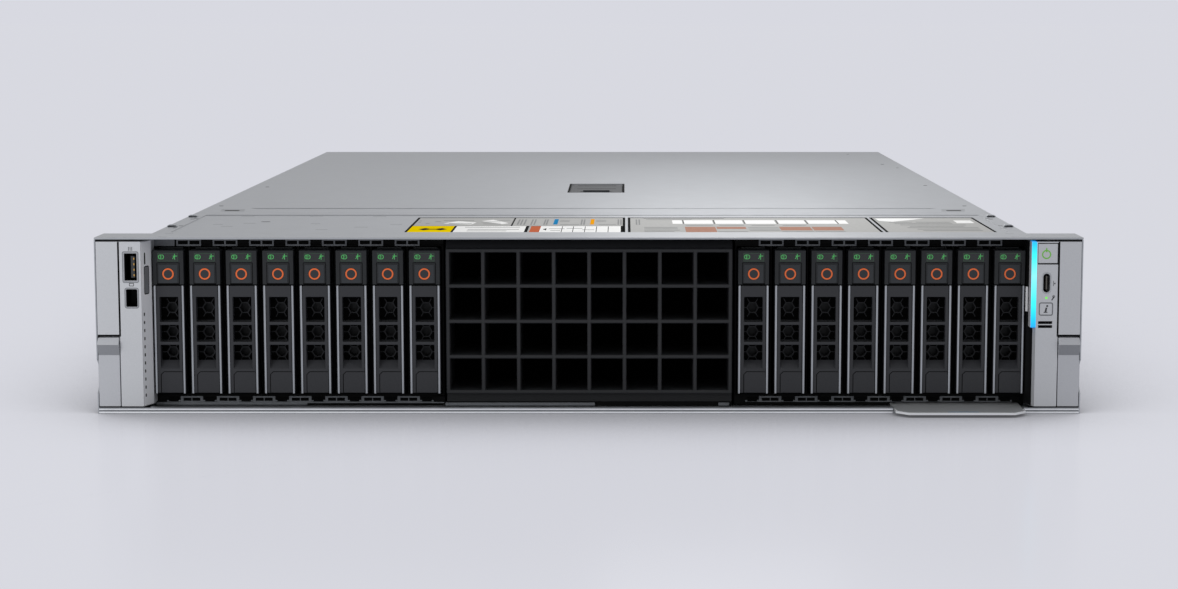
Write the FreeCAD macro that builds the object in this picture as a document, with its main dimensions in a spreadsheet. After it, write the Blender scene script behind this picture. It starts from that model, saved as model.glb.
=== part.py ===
import FreeCAD, Part

import math
import os
import re

import Sketcher

# A 2u rack server with sixteen 2.5-inch drives. Millimetres, +Z up, the front toward -Y.
# The origin is the middle of the underside of the whole server.

SIZES = {
    # how far fused pieces reach into each other, and how far a cut runs past its piece
    "bite": 0.1,
    "overrun": 1.0,
    # clearances
    "slide_gap": 0.2,           # between flat faces that slide or lie over each other
    "turn_gap": 0.3,            # between faces that turn past each other
    "pin_gap": 0.05,            # round a pin in its bore
    # drives and their bays, which set the width and the height of the case
    "drive_width": 69.85,
    "drive_length": 100.45,
    "drive_thick": 14.8,
    "drive_back": 4.0,          # drive behind the carrier's screen
    "carrier_side": 0.15,       # carrier wider than the drive, on each side
    "bay_gap": 2.9,
    "rail": 1.45,
    "rail_wide": 12.0,
    "cage_room": 0.525,         # above and below the rails
    "cage_floor": 6.0,
    "roof_room": 6.0,           # from the cage's roof to the top of the case
    # the case
    "ear_reach": 24.0,          # rack ear beside the case
    "ear_depth": 22.0,          # ear face to the back of the flange that meets the rack post
    "flange_to_rear": 700.7,    # back of the flange to the outside of the rear wall
    "tag_reach": 13.0,          # information tag in front of the ear face
    "psu_reach": 35.59,         # supply handles behind the rear wall
    "wall_sheet": 1.0,
    "floor_sheet": 1.2,
    "cover_sheet": 1.0,
    "flange_sheet": 1.6,
    "ear_sheet": 0.6,
    "hem_rise": 1.4,            # folded upper layer of the front lip
    "hem_depth": 3.0,
    "hem_gap": 0.3,
    "screw_reach": 15.55,       # rack hole beside the case
    "screw_height": 21.2,
    "screw_hole": 3.4,          # radius
    "side_cut_low": 10.0,       # finger cut in the outer side sheet of an ear
    "side_cut_high": 27.0,
    "side_cut_depth": 3.5,
    "side_cut_slope": 3.0,
    # covers
    "front_cover_length": 144.0,
    "cover_seam": 0.6,
    "label_field_side": 8.0,
    "label_field_front": 29.0,
    "label_field_rear": 132.0,
    "label_field_deep": 0.4,
    "lance_front": 57.2,        # small scoops pressed up beside the label field
    "lance_rear": 116.5,
    "lance_in": 3.4,            # from the side of the cover to the scoop's middle
    "lance_wide": 5.0,
    "lance_long": 3.2,
    "lance_high": 1.2,
    "lance_sheet": 0.45,
    "bead_front": 171.0,
    "bead_side": 30.5,
    "bead_width": 5.0,
    "bead_deep": 0.3,
    "latch_tray_front": 294.6,
    "latch_tray_length": 73.0,
    "latch_tray_width": 32.6,
    "latch_tray_deep": 8.0,
    "latch_sheet": 3.0,
    "latch_sink": 0.4,          # handle below the top of the cover
    "latch_pin": 1.0,           # radius
    "latch_pin_in": 4.0,        # pin in front of the tray's rear wall
    "latch_lip": 3.0,
    "latch_lip_sheet": 2.0,
    "latch_window_front": 8.0,
    "latch_window_length": 16.0,
    # ear mouldings, measured in from the rim and down from the top
    "panel_low": 3.5,
    "panel_top_gap": 0.9,
    "panel_side_gap": 0.8,
    "latch_width": 10.5,
    "groove_wide": 0.9,
    "groove_deep": 3.0,
    "groove_wall": 0.45,        # wall left beside the latch's room
    "panel_strip": 10.4,
    "panel_bevel_in": 3.2,
    "panel_bevel": 10.0,
    "port_deep": 12.0,
    "port_tongue": 1.6,
    "port_tongue_shift": 1.0,
    "port_tongue_margin": 1.5,
    "usb_in": 5.0,              # from the inner edge of the face
    "usb_down": 12.3,           # from the top of the face
    "usb_wide": 6.0,
    "usb_tall": 13.4,
    "display_in": 4.7,
    "display_down": 27.5,
    "display_wide": 5.6,
    "display_tall": 8.8,
    "bar_in": 0.6,
    "bar_wide": 2.8,
    "bar_tall": 42.0,
    "bar_deep": 6.0,
    "power_in": 5.4,
    "power_down": 5.7,
    "power_size": 9.6,
    "button_deep": 8.0,
    "button_travel": 1.5,
    "button_gap": 0.15,
    "usbc_in": 5.0,
    "usbc_down": 20.2,
    "usbc_wide": 3.5,
    "usbc_tall": 9.5,
    "id_in": 4.9,
    "id_down": 33.0,
    "id_wide": 6.2,
    "id_tall": 5.7,
    "ear_vent_down": 39.6,
    "ear_vent_wide": 6.5,
    "ear_vent_tall": 1.3,
    "ear_vent_pitch": 2.0,
    "ear_vent_deep": 3.0,
    # rack release latch
    "release_top": 37.6,
    "release_gap": 1.5,         # to the moulding above
    "release_ridge": 2.6,
    "release_ridge_down": 3.2,
    "release_ridge_tall": 5.4,
    "release_sheet": 2.5,
    "release_root": 6.2,
    "release_root_slope": 1.6,
    "release_pin_y": 3.2,
    "release_pin_down": 1.6,
    "release_pin": 1.0,         # radius
    # drive cages
    "cage_front": 18.0,
    "cage_sheet": 1.0,
    "cage_rear": 130.0,
    "cage_strip_low": 1.4,
    "cage_strip_rise": 2.5,
    "divider_length": 70.0,
    # carriers and their levers
    "carrier_front": 10.0,
    "carrier_gap": 1.3,         # above and below the carrier in its bay
    "cheek": 1.2,
    "cheek_down": 17.2,
    "block_gap": 0.3,
    "screen_front": 19.2,
    "screen_sheet": 1.2,
    "screen_hole": 3.0,         # corner radius of the six-sided holes
    "release_button_wide": 10.8,
    "release_button_tall": 10.1,
    "release_button_sill": 0.6,
    "release_button_deep": 6.0,
    "release_button_proud": 0.2,
    "lever_side": 1.35,         # lever narrower than the carrier, on each side
    "lever_sink": 0.2,
    "lever_thick": 4.2,
    "lever_bar": 1.6,
    "lever_foot_tall": 12.0,
    "lever_window_low_tall": 7.8,
    "lever_window_tall": 8.3,
    "lever_head": 5.6,
    "lever_axis_in": 5.2,
    "lever_axis_up": 2.7,
    "lever_barrel": 2.2,        # material round the pin
    "lever_pin": 0.95,          # radius
    # air grille
    "grille_side": 1.2,
    "grille_foot": 1.8,
    "grille_head": 0.6,
    "grille_bar": 2.0,
    "grille_front": 12.0,
    "grille_depth": 37.0,
    # information tag
    "tag_side": 3.7,
    "tag_width": 63.6,
    "tag_sheet": 1.1,
    "tag_length": 96.0,
    "tag_corner": 6.0,
    # backplanes and fans
    "board_sheet": 2.0,
    "backplane_drop": 2.0,
    "connector_gap": 0.3,
    "connector_wide": 5.0,
    "connector_tall": 33.0,
    "fan_front": 180.0,
    "fan_row_gap": 12.0,
    "fan_depth": 56.0,
    "fan_top_gap": 5.6,
    "fan_bore": 29.0,           # radius
    "fan_hub": 14.0,            # radius
    "fan_hub_length": 26.0,
    "fan_blade_tip": 25.5,
    "fan_blade_root": 8.4,
    "fan_blade_margin": 2.0,
    "fan_blade": 1.6,
    "fan_blade_rise": 9.0,
    "fan_shaft": 2.0,           # radius
    "fan_shaft_end": 0.5,
    "stator": 13.0,             # radius
    "stator_depth": 4.0,
    "strut": 3.0,
    "strut_bite": 1.0,
    "tray_rise": 19.5,          # tray's ends above the middle of the fans
    # system board and what it carries
    "mainboard_front": 250.0,
    "board_side_gap": 2.6,
    "board_wing_gap": 2.0,
    "board_wing_length": 255.0,
    "mainboard_height": 6.0,
    "standoff": 3.0,            # radius
    "standoff_in": 10.0,
    "standoff_front": 12.0,
    "standoff_rear": 20.0,
    "socket_size": 80.0,
    "socket_frame": 8.0,
    "socket_height": 4.0,
    "sink_width": 118.0,
    "sink_length": 108.0,
    "sink_front": 295.0,
    "sink_base": 5.0,
    "sink_room": 4.4,
    "fin": 1.2,
    "memory_first": 66.0,
    "memory_pitch": 7.6,
    "memory_length": 133.35,
    "memory_front": 285.0,
    "memory_tall": 31.25,
    "memory_thick": 1.4,
    "memory_socket": 6.0,
    "memory_socket_wide": 6.4,
    "memory_socket_end": 4.5,
    "shroud_side": 17.4,
    "shroud_front": 246.0,
    "shroud_length": 215.0,
    "shroud_sheet": 1.6,
    "shroud_top_gap": 5.8,
    "shroud_dip_half": 60.0,
    "shroud_dip_deep": 10.0,
    "shroud_slope": 6.0,
    # rear
    "riser_inner": 14.0,
    "riser_side": 7.8,          # riser cage inside the supply bays
    "riser_foot": 1.4,
    "riser_top_gap": 2.3,
    "riser_length": 170.0,
    "riser_window_side": 5.0,
    "riser_window_edge": 2.0,
    "slot_side": 13.0,
    "slot_sill": 4.0,
    "slot_web": 8.32,
    "slot_head": 3.18,
    "bracket_play": 0.5,
    "psu_width": 60.0,
    "psu_height": 40.0,
    "psu_length": 185.0,
    "psu_tongue": 10.0,
    "handle_shift": 4.0,
    "handle_wide": 34.0,
    "handle_bar": 3.0,
    "handle_tall": 12.0,
    "handle_drop": 6.0,
    "handle_slant": 5.0,
    "inlet_shift": 12.0,
    "inlet_wide": 24.0,
    "inlet_tall": 16.0,
    "inlet_sill": 4.0,
    "inlet_deep": 14.0,
    "network_wide": 15.9,
    "network_tall": 13.4,
    "network_deep": 21.0,
    "jack_wide": 11.7,
    "jack_tall": 8.0,
    "jack_sill": 2.4,
    "jack_deep": 14.0,
    "network_first": 72.0,
    "network_pitch": 24.0,
    "usb_stack_wide": 13.2,
    "usb_stack_tall": 15.6,
    "usb_stack_middle": 38.0,
    "video_wide": 31.0,
    "video_tall": 11.5,
    "port_fit": 0.4,
    "vent_pitch": 11.0,
    "vent_wide": 5.0,
    "vent_low_gap": 10.0,
    "vent_high_gap": 8.0,
    "card_slot_side": 96.0,
    "card_slot_wide": 76.0,
    "card_slot_tall": 13.4,
    "card_slot_deep": 60.0,
}

# Places that follow from the sizes, as texts of the same names.
PLACES = {
    "face": "tag_reach - (tag_reach + ear_depth + flange_to_rear + psu_reach) / 2",
    "flange": "face + ear_depth",
    "panel_back": "flange - flange_sheet",
    "rear": "flange + flange_to_rear",
    "rear_inside": "rear - wall_sheet",
    "carrier_width": "drive_thick + 2 * carrier_side",
    "carrier_half": "carrier_width / 2",
    "bay_pitch": "carrier_width + bay_gap",
    "wall_in": "12 * bay_pitch",
    "half_chassis": "wall_in + wall_sheet",
    "half_rack": "half_chassis + ear_reach",
    "screw_side": "half_chassis + screw_reach",
    "bay_low": "cage_floor + cage_sheet",
    "cage_roof": "bay_low + drive_width + 2 * rail + 2 * cage_room",
    "cage_top": "cage_roof + cage_sheet",
    "cage_half": "4 * bay_pitch",
    "cage_middle": "8 * bay_pitch",
    "cage_y": "face + cage_front",
    "chassis_height": "cage_roof + roof_room",
    "cover_low": "chassis_height - cover_sheet",
    "wall_top": "cover_low - slide_gap",
    "lip_low": "floor_sheet + hem_gap",
    "lip_top": "lip_low + hem_rise",
    "floor_bite": "floor_sheet - bite",
    "tag_low": "floor_sheet + slide_gap",
    "tag_right": "half_chassis - tag_side",
    "tag_left": "tag_right - tag_width",
    "seam_front": "face + front_cover_length",
    "seam_rear": "seam_front + cover_seam",
    "label_field_half": "half_chassis - label_field_side",
    "bead_half": "half_chassis - bead_side",
    "tray_front": "face + latch_tray_front",
    "tray_rear": "tray_front + latch_tray_length",
    "tray_half": "latch_tray_width / 2",
    "latch_high": "chassis_height - latch_sink",
    "latch_low": "latch_high - latch_sheet",
    "latch_axis_y": "tray_rear - latch_pin_in",
    "latch_axis_z": "(latch_low + latch_high) / 2",
    "latch_start": "tray_front + turn_gap",
    "panel_high": "wall_top - panel_top_gap",
    "panel_rim": "half_rack - panel_side_gap",
    "groove_out": "panel_rim - latch_width",
    "groove_in": "groove_out - groove_wide",
    "panel_edge": "groove_in - panel_strip",
    "panel_foot": "panel_edge - panel_bevel_in",
    "usb_middle": "panel_edge + usb_in",
    "usb_height": "panel_high - usb_down",
    "display_middle": "panel_edge + display_in",
    "display_height": "panel_high - display_down",
    "bar_inner": "panel_foot + bar_in",
    "bar_outer": "bar_inner + bar_wide",
    "bar_low": "panel_high - bar_tall",
    "power_middle": "panel_edge + power_in",
    "power_height": "panel_high - power_down",
    "usbc_middle": "panel_edge + usbc_in",
    "usbc_height": "panel_high - usbc_down",
    "id_middle": "panel_edge + id_in",
    "id_height": "panel_high - id_down",
    "ear_vent_height": "panel_high - ear_vent_down",
    "release_under": "release_top + release_gap",
    "release_ridge_z": "release_top - release_ridge_down",
    "release_low_z": "release_ridge_z - release_ridge_tall",
    "release_axis_y": "face + release_pin_y",
    "release_pin_z": "release_top - release_pin_down",
    "carrier_y": "face + carrier_front",
    "carrier_low": "bay_low + carrier_gap",
    "carrier_high": "cage_roof - carrier_gap",
    "cheek_high": "carrier_high - cheek_down",
    "block_low": "cheek_high + block_gap",
    "button_low": "block_low + release_button_sill",
    "screen_y": "face + screen_front",
    "screen_back": "screen_y + screen_sheet",
    "drive_y": "screen_back + drive_back",
    "drive_end": "drive_y + drive_length",
    "bay_middle": "(bay_low + cage_roof) / 2",
    "drive_low": "bay_middle - drive_width / 2",
    "drive_high": "bay_middle + drive_width / 2",
    "lever_half": "carrier_half - lever_side",
    "lever_inner": "lever_half - lever_bar",
    "lever_face": "carrier_y + lever_sink",
    "lever_back": "lever_face + lever_thick",
    "lever_y": "carrier_y + lever_axis_in",
    "lever_axis_z": "carrier_low + lever_axis_up",
    "lever_low": "carrier_low + block_gap",
    "lever_top": "cheek_high - block_gap",
    "lever_foot": "lever_low + lever_foot_tall",
    "lever_sill": "lever_foot + lever_thick",
    "window_low_top": "lever_sill + lever_window_low_tall",
    "window_middle_low": "window_low_top + lever_bar",
    "window_middle_top": "window_middle_low + lever_window_tall",
    "window_high_low": "window_middle_top + lever_bar",
    "window_high_top": "lever_top - lever_head",
    "grille_y": "face + grille_front",
    "grille_half": "cage_half - grille_side",
    "grille_low": "cage_floor + grille_foot",
    "grille_high": "cage_roof - grille_head",
    "cage_strip_high": "cage_top + cage_strip_rise",
    "backplane_y": "face + cage_rear",
    "fan_y": "face + fan_front",
    "fan_pitch": "(2 * wall_in - fan_row_gap) / 6",
    "fan_half": "fan_pitch / 2 - turn_gap",
    "fan_low": "floor_sheet + wall_sheet",
    "fan_high": "cover_low - fan_top_gap",
    "fan_middle_z": "(fan_low + fan_high) / 2",
    "stator_y": "fan_y + fan_depth - stator_depth",
    "hub_end": "stator_y - turn_gap",
    "hub_start": "hub_end - fan_hub_length",
    "tray_half_width": "3 * fan_pitch + wall_sheet",
    "tray_high": "fan_middle_z + tray_rise",
    "board_top": "mainboard_height + board_sheet",
    "board_y": "face + mainboard_front",
    "board_wing_y": "board_y + board_wing_length",
    "board_end": "rear_inside - port_fit",
    "board_half": "bay_wall - board_side_gap",
    "board_wing_half": "wall_in - board_wing_gap",
    "sink_y": "face + sink_front",
    "sink_z": "board_top + socket_height",
    "sink_top": "shroud_dip - shroud_sheet - sink_room",
    "memory_y": "face + memory_front",
    "shroud_y": "face + shroud_front",
    "shroud_half": "memory_first + 11 * memory_pitch + shroud_side",
    "shroud_top": "cover_low - shroud_top_gap",
    "shroud_dip": "shroud_top - shroud_dip_deep",
    "psu_out": "wall_in - slide_gap",
    "psu_in": "psu_out - psu_width",
    "psu_middle": "psu_out - psu_width / 2",
    "psu_low": "floor_sheet + slide_gap",
    "psu_top": "psu_low + psu_height",
    "bay_in": "psu_in - slide_gap",
    "bay_wall": "bay_in - wall_sheet",
    "bay_ceiling": "psu_top + slide_gap",
    "bay_shelf": "bay_ceiling + wall_sheet",
    "riser_outer": "psu_in - riser_side",
    "riser_low": "bay_shelf + riser_foot",
    "riser_high": "cover_low - riser_top_gap",
    "slot_tall": "(riser_high - riser_low - slot_sill - slot_web - slot_head) / 2",
    "vent_low": "psu_top + vent_low_gap",
    "vent_high": "wall_top - vent_high_gap",
    "network_second": "network_first + network_pitch",
}

FILLED_BAYS = [bay for bay in range(24) if bay < 8 or bay > 15]
CAGE_BAYS = 8
MIDDLE_BAY = 11.5
FANS = 6
BLADES = 5
FINS = 21
MEMORY_EACH_SIDE = 12
GRILLE_COLUMNS = 8
GRILLE_ROWS = 4
VENTS = 5
PIN_SIDES = 8                   # small repeated pins and their bores have few sides
BORE_SIDES = 20
RIGHT, LEFT = 1, -1

doc = FreeCAD.newDocument("rack_server")
sheet = doc.addObject("Spreadsheet::Sheet", "sizes")
for row, (alias, size) in enumerate(SIZES.items(), start=1):
    sheet.set(f"A{row}", alias)
    sheet.set(f"B{row}", str(size))
    sheet.setAlias(f"B{row}", alias)
doc.recompute()

nodes = []


def bound(text):
    """A text of sizes and places as an expression on the sheet."""
    def reference(match):
        word = match.group(0)
        if word in PLACES:
            return "(" + bound(PLACES[word]) + ")"
        return "sizes." + word if word in SIZES else word
    return re.sub(r"[a-z_]+", reference, str(text))


def bind(item, **properties):
    for name, text in properties.items():
        item.setExpression(name, bound(text))
    return item


def place(item, x=0, y=0, z=0):
    for axis, text in zip("xyz", (x, y, z)):
        item.setExpression("Placement.Base." + axis, bound(text))
    return item


def node(label, *pieces):
    """One named node of the server, made of one or more separate solids."""
    item = doc.addObject("Part::Compound", label)
    item.Label = label
    item.Links = list(pieces)
    nodes.append(item)
    return item


def box(x, y, z):
    """A block between two texts along each axis."""
    item = doc.addObject("Part::Box", "block")
    lengths = [f"({high}) - ({low})" for low, high in (x, y, z)]
    bind(item, Length=lengths[0], Width=lengths[1], Height=lengths[2])
    return place(item, x[0], y[0], z[0])


def union(*pieces):
    item = doc.addObject("Part::MultiFuse", "union")
    item.Shapes = list(pieces)
    return item


def difference(base, *tools):
    item = doc.addObject("Part::Cut", "difference")
    item.Base = base
    item.Tool = tools[0] if len(tools) == 1 else union(*tools)
    return item


def copy_at(piece, x=0, y=0, z=0):
    item = doc.addObject("Part::Compound", "copy")
    item.Links = [piece]
    return place(item, x, y, z)


def body(name):
    return doc.addObject("PartDesign::Body", name + "_body")


def origin_plane(item, role):
    return [feature for feature in item.Origin.OriginFeatures if feature.Role == role][0]


def fix_point(geometry, point, u, v):
    """Constraints that hold one point of a sketch at two texts measured from the origin."""
    return [(Sketcher.Constraint(kind, -1, 1, geometry, point, 1.0), text)
            for kind, text in (("DistanceX", u), ("DistanceY", v))]


def add_outline(drawing, corners):
    """A closed outline with straight sides, and the constraints that place its corners."""
    first = drawing.GeometryCount
    turn = 2 * math.pi / len(corners)
    ring = [FreeCAD.Vector(math.cos(k * turn), math.sin(k * turn), 0) for k in range(len(corners) + 1)]
    drawing.addGeometry([Part.LineSegment(ring[k], ring[k + 1]) for k in range(len(corners))], False)
    held = []
    for k, (u, v) in enumerate(corners):
        after = first + (k + 1) % len(corners)
        held += fix_point(first + k, 1, u, v)
        held.append((Sketcher.Constraint("Coincident", first + k, 2, after, 1), None))
    return held


def add_circle(drawing, u, v, radius):
    index = drawing.GeometryCount
    drawing.addGeometry(Part.Circle(FreeCAD.Vector(), FreeCAD.Vector(0, 0, 1), 1), False)
    return fix_point(index, 3, u, v) + [(Sketcher.Constraint("Radius", index, 1.0), radius)]


def polygon(u, v, radius, sides):
    """Corners of a regular outline round a middle."""
    turns = [math.radians(360 * (k + 0.5) / sides) for k in range(sides)]
    return [(f"{u} + {radius} * {math.cos(turn):.6f}", f"{v} + {radius} * {math.sin(turn):.6f}")
            for turn in turns]


def bore_round(pin):
    """Corner radius of a many-sided bore whose sides clear the corners of its pin."""
    return f"({pin} + pin_gap) / {math.cos(math.pi / PIN_SIDES):.6f}"


def rectangle(u, v):
    return [(u[0], v[0]), (u[1], v[0]), (u[1], v[1]), (u[0], v[1])]


def facing(side, corners):
    """An outline of the right-hand side as it stands, or mirrored for the left."""
    return corners if side == RIGHT else [(f"-({u})", v) for u, v in corners]


def both_sides(corners):
    return [facing(RIGHT, corners), facing(LEFT, corners)]


def reach(side, inner, outer):
    """Two distances from the middle of the server as a span along X on one side."""
    return (inner, outer) if side == RIGHT else (f"-({outer})", f"-({inner})")


def around(middle, size):
    return (f"{middle} - ({size}) / 2", f"{middle} + ({size}) / 2")


def draw(item, role, start, outlines, circles=()):
    """A sketch on one of the body's origin planes, moved to its start along the axis."""
    drawing = item.newObject("Sketcher::SketchObject", item.Name + "_sketch")
    drawing.AttachmentSupport = [(origin_plane(item, role), "")]
    drawing.MapMode = "FlatFace"
    offset = f"-({start})" if role == "XZ_Plane" else start
    drawing.setExpression("AttachmentOffset.Base.z", bound(offset))
    held = []
    for corners in outlines:
        held += add_outline(drawing, corners)
    for u, v, radius in circles:
        held += add_circle(drawing, u, v, radius)
    drawing.addConstraint([constraint for constraint, text in held])
    for index, (constraint, text) in enumerate(held):
        if text is not None:
            drawing.setExpression(f"Constraints[{index}]", bound(text))
    return drawing


def pad(item, role, span, outlines, circles=()):
    """Material from the first text of the span to the second along the plane's axis."""
    feature = item.newObject("PartDesign::Pad", item.Name + "_pad")
    feature.Profile = draw(item, role, span[0], outlines, circles)
    feature.Reversed = role == "XZ_Plane"
    return bind(feature, Length=f"({span[1]}) - ({span[0]})")


def pocket(item, role, span, outlines, circles=()):
    """Material taken away over the span along the plane's axis."""
    feature = item.newObject("PartDesign::Pocket", item.Name + "_pocket")
    feature.Profile = draw(item, role, span[0], outlines, circles)
    feature.Reversed = role != "XZ_Plane"
    return bind(feature, Length=f"({span[1]}) - ({span[0]})")


def through(start, end):
    """A span that runs past both faces of what it cuts."""
    return (f"{start} - overrun", f"{end} + overrun")


def pattern(item, feature, axis, length, count):
    """Copies of a feature in a row along one of the body's axes."""
    row_of = item.newObject("PartDesign::LinearPattern", item.Name + "_row")
    row_of.Originals = [feature]
    row_of.Direction = (origin_plane(item, axis), [""])
    row_of.Occurrences = count
    item.Tip = row_of
    return bind(row_of, Length=length)


def rear_ports():
    """Middle, width and height of every port that looks out of the rear wall."""
    ports = [("0", "video_wide", "video_tall"), ("usb_stack_middle", "usb_stack_wide", "usb_stack_tall"),
             ("network_first", "network_wide", "network_tall"),
             ("network_second", "network_wide", "network_tall"),
             ("-card_slot_side", "card_slot_wide", "card_slot_tall")]
    return ports


def front_lip(item, span):
    """The floor's front edge folded back over itself."""
    pad(item, "YZ_Plane", span, [[
        ("face", "lip_low"), ("face + hem_depth", "lip_low"), ("face + hem_depth", "floor_bite"),
        ("face + hem_depth + hem_rise", "floor_bite"), ("face + hem_depth + hem_rise", "lip_top"),
        ("face", "lip_top")]])


def make_tub():
    """Folded floor and side walls, with a gap in the front lip for the information tag."""
    item = body("tub")
    pad(item, "XZ_Plane", ("flange", "rear"), [[
        ("-half_chassis", "0"), ("half_chassis", "0"), ("half_chassis", "wall_top"),
        ("wall_in", "wall_top"), ("wall_in", "floor_sheet"), ("-wall_in", "floor_sheet"),
        ("-wall_in", "wall_top"), ("-half_chassis", "wall_top")]])
    pad(item, "XZ_Plane", ("face", "flange"), [
        rectangle(("-half_chassis", "half_chassis"), ("0", "floor_sheet"))])
    front_lip(item, ("-half_chassis", "tag_left - slide_gap"))
    front_lip(item, ("tag_right + slide_gap", "half_chassis"))
    return item


def make_ear(side):
    """Bracket beside the case: rack flange with its screw hole, side sheet and foot."""
    item = body("ear")
    flange = [("half_chassis", "0"), ("half_rack", "0"), ("half_rack", "wall_top"), ("wall_in", "wall_top"),
              ("wall_in", "floor_sheet"), ("half_chassis", "floor_sheet")]
    pad(item, "XZ_Plane", ("panel_back", "flange"), [facing(side, flange)])
    foot = rectangle(("half_chassis", "half_rack"), ("0", "floor_sheet"))
    pad(item, "XZ_Plane", ("face", "panel_back + bite"), [facing(side, foot)])
    front_lip(item, reach(side, "half_chassis", "half_rack"))
    pad(item, "YZ_Plane", reach(side, "half_rack - ear_sheet", "half_rack"), [[
        ("flange", "floor_bite"), ("flange", "wall_top"), ("face", "wall_top"), ("face", "side_cut_high"),
        ("face + side_cut_depth", "side_cut_high - side_cut_slope"),
        ("face + side_cut_depth", "side_cut_low + side_cut_slope"), ("face", "side_cut_low"),
        ("face", "floor_bite")]])
    screw = "screw_side" if side == RIGHT else "-screw_side"
    pocket(item, "XZ_Plane", through("panel_back", "flange"), [], [(screw, "screw_height", "screw_hole")])
    return item


def make_supply_bay(side):
    """Shelf and inner wall round a power supply, with a vented panel above it."""
    item = body("supply_bay")
    shelf = [("bay_in", "floor_sheet"), ("bay_in", "bay_ceiling"), ("wall_in", "bay_ceiling"),
             ("wall_in", "bay_shelf"), ("bay_wall", "bay_shelf"), ("bay_wall", "floor_sheet")]
    pad(item, "XZ_Plane", ("rear - psu_length - psu_tongue", "rear"), [facing(side, shelf)])
    panel = rectangle(("bay_wall", "wall_in"), ("bay_shelf - bite", "wall_top"))
    pad(item, "XZ_Plane", ("rear_inside", "rear"), [facing(side, panel)])
    left = "psu_in + vent_pitch / 2" if side == RIGHT else "-psu_out + vent_pitch / 2"
    vent = pocket(item, "XZ_Plane", through("rear_inside", "rear"),
                  [rectangle((left, f"{left} + vent_wide"), ("vent_low", "vent_high"))])
    pattern(item, vent, "X_Axis", f"{VENTS - 1} * vent_pitch", VENTS)
    return item


def make_rear_wall():
    """Pierced sheet between the supply bays, with windows for the cards and the ports."""
    item = body("rear_wall")
    outlines = [rectangle(("-bay_wall", "bay_wall"), ("floor_sheet", "wall_top"))]
    outlines += both_sides(rectangle(("riser_inner + riser_window_side", "riser_outer - riser_window_side"),
                                     ("riser_low + riser_window_edge", "riser_high - riser_window_edge")))
    for middle, wide, tall in rear_ports():
        outlines.append(rectangle(around(middle, f"{wide} + 2 * port_fit"),
                                  ("board_top - port_fit", f"board_top + {tall} + port_fit")))
    pad(item, "XZ_Plane", ("rear_inside", "rear"), outlines)
    return item


def make_chassis():
    node("chassis", make_tub(), make_ear(LEFT), make_ear(RIGHT), make_rear_wall(),
         make_supply_bay(LEFT), make_supply_bay(RIGHT))


def lance(inset, foot):
    """Arched outline of a pressed scoop, or of its hollow once it is set in by the sheet."""
    left, right = around("half_chassis - lance_in", f"lance_wide - 2 * {inset}")
    shoulder, top = "chassis_height + lance_high / 2", f"chassis_height + lance_high - {inset}"
    return [(left, foot), (right, foot), (right, shoulder), (f"{right} - lance_wide / 5", top),
            (f"{left} + lance_wide / 5", top), (left, shoulder)]


def make_front_cover():
    """Fixed sheet over the drives, wide over the ears, with a pressed field for labels."""
    item = body("front_cover")
    pad(item, "XY_Plane", ("cover_low", "chassis_height"), [[
        ("-half_rack", "face"), ("half_rack", "face"), ("half_rack", "flange"), ("half_chassis", "flange"),
        ("half_chassis", "seam_front"), ("-half_chassis", "seam_front"), ("-half_chassis", "flange"),
        ("-half_rack", "flange")]])
    field = rectangle(("-label_field_half", "label_field_half"),
                      ("face + label_field_front", "face + label_field_rear"))
    pocket(item, "XY_Plane", ("chassis_height - label_field_deep", "chassis_height + overrun"), [field])
    for start in ("face + lance_front", "face + lance_rear"):
        end = f"{start} + lance_long"
        pad(item, "XZ_Plane", (start, end), both_sides(lance("0", "chassis_height - bite")))
        pocket(item, "XZ_Plane", (f"{start} - overrun", f"{end} - lance_sheet"),
               both_sides(lance("lance_sheet", "chassis_height")))
    node("front_cover", item)


def make_top_cover():
    """Lift-off sheet with the tray for its latch and a pressed bead along the front."""
    item = body("top_cover")
    pad(item, "XY_Plane", ("cover_low", "chassis_height"),
        [rectangle(("-half_chassis", "half_chassis"), ("seam_rear", "rear"))])
    pad(item, "XY_Plane", ("chassis_height - latch_tray_deep - wall_sheet", "chassis_height"),
        [rectangle(("-tray_half - wall_sheet", "tray_half + wall_sheet"),
                   ("tray_front - wall_sheet", "tray_rear + wall_sheet"))])
    pocket(item, "XY_Plane", ("chassis_height - latch_tray_deep", "chassis_height + overrun"),
           [rectangle(("-tray_half", "tray_half"), ("tray_front", "tray_rear"))])
    pocket(item, "XY_Plane", ("chassis_height - bead_deep", "chassis_height + overrun"), [[
        ("-bead_half", "face + bead_front"), ("bead_half", "face + bead_front"),
        ("bead_half + bead_width", "face + bead_front + bead_width"),
        ("-bead_half - bead_width", "face + bead_front + bead_width")]])
    pad(item, "YZ_Plane", ("-tray_half - bite", "tray_half + bite"), [],
        [("latch_axis_y", "latch_axis_z", "latch_pin")])
    node("top_cover", item)


def make_cover_latch():
    """Flat handle in the cover's tray, turning on a pin at its rear end."""
    item = body("cover_latch")
    pad(item, "YZ_Plane", ("-tray_half + turn_gap", "tray_half - turn_gap"), [[
        ("latch_start", "latch_high"), ("latch_start", "latch_low - latch_lip"),
        ("latch_start + latch_lip_sheet", "latch_low - latch_lip"),
        ("latch_start + latch_lip_sheet", "latch_low"), ("latch_axis_y + latch_sheet / 2", "latch_low"),
        ("latch_axis_y + latch_sheet / 2", "latch_high")]])
    pocket(item, "YZ_Plane", ("-tray_half", "tray_half"), [],
           [("latch_axis_y", "latch_axis_z", "latch_pin + pin_gap")])
    front = "tray_front + latch_window_front"
    pocket(item, "XY_Plane", through("latch_low", "latch_high"),
           [rectangle(("-tray_half / 2", "tray_half / 2"), (front, f"{front} + latch_window_length"))])
    node("cover_latch", item)


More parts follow.
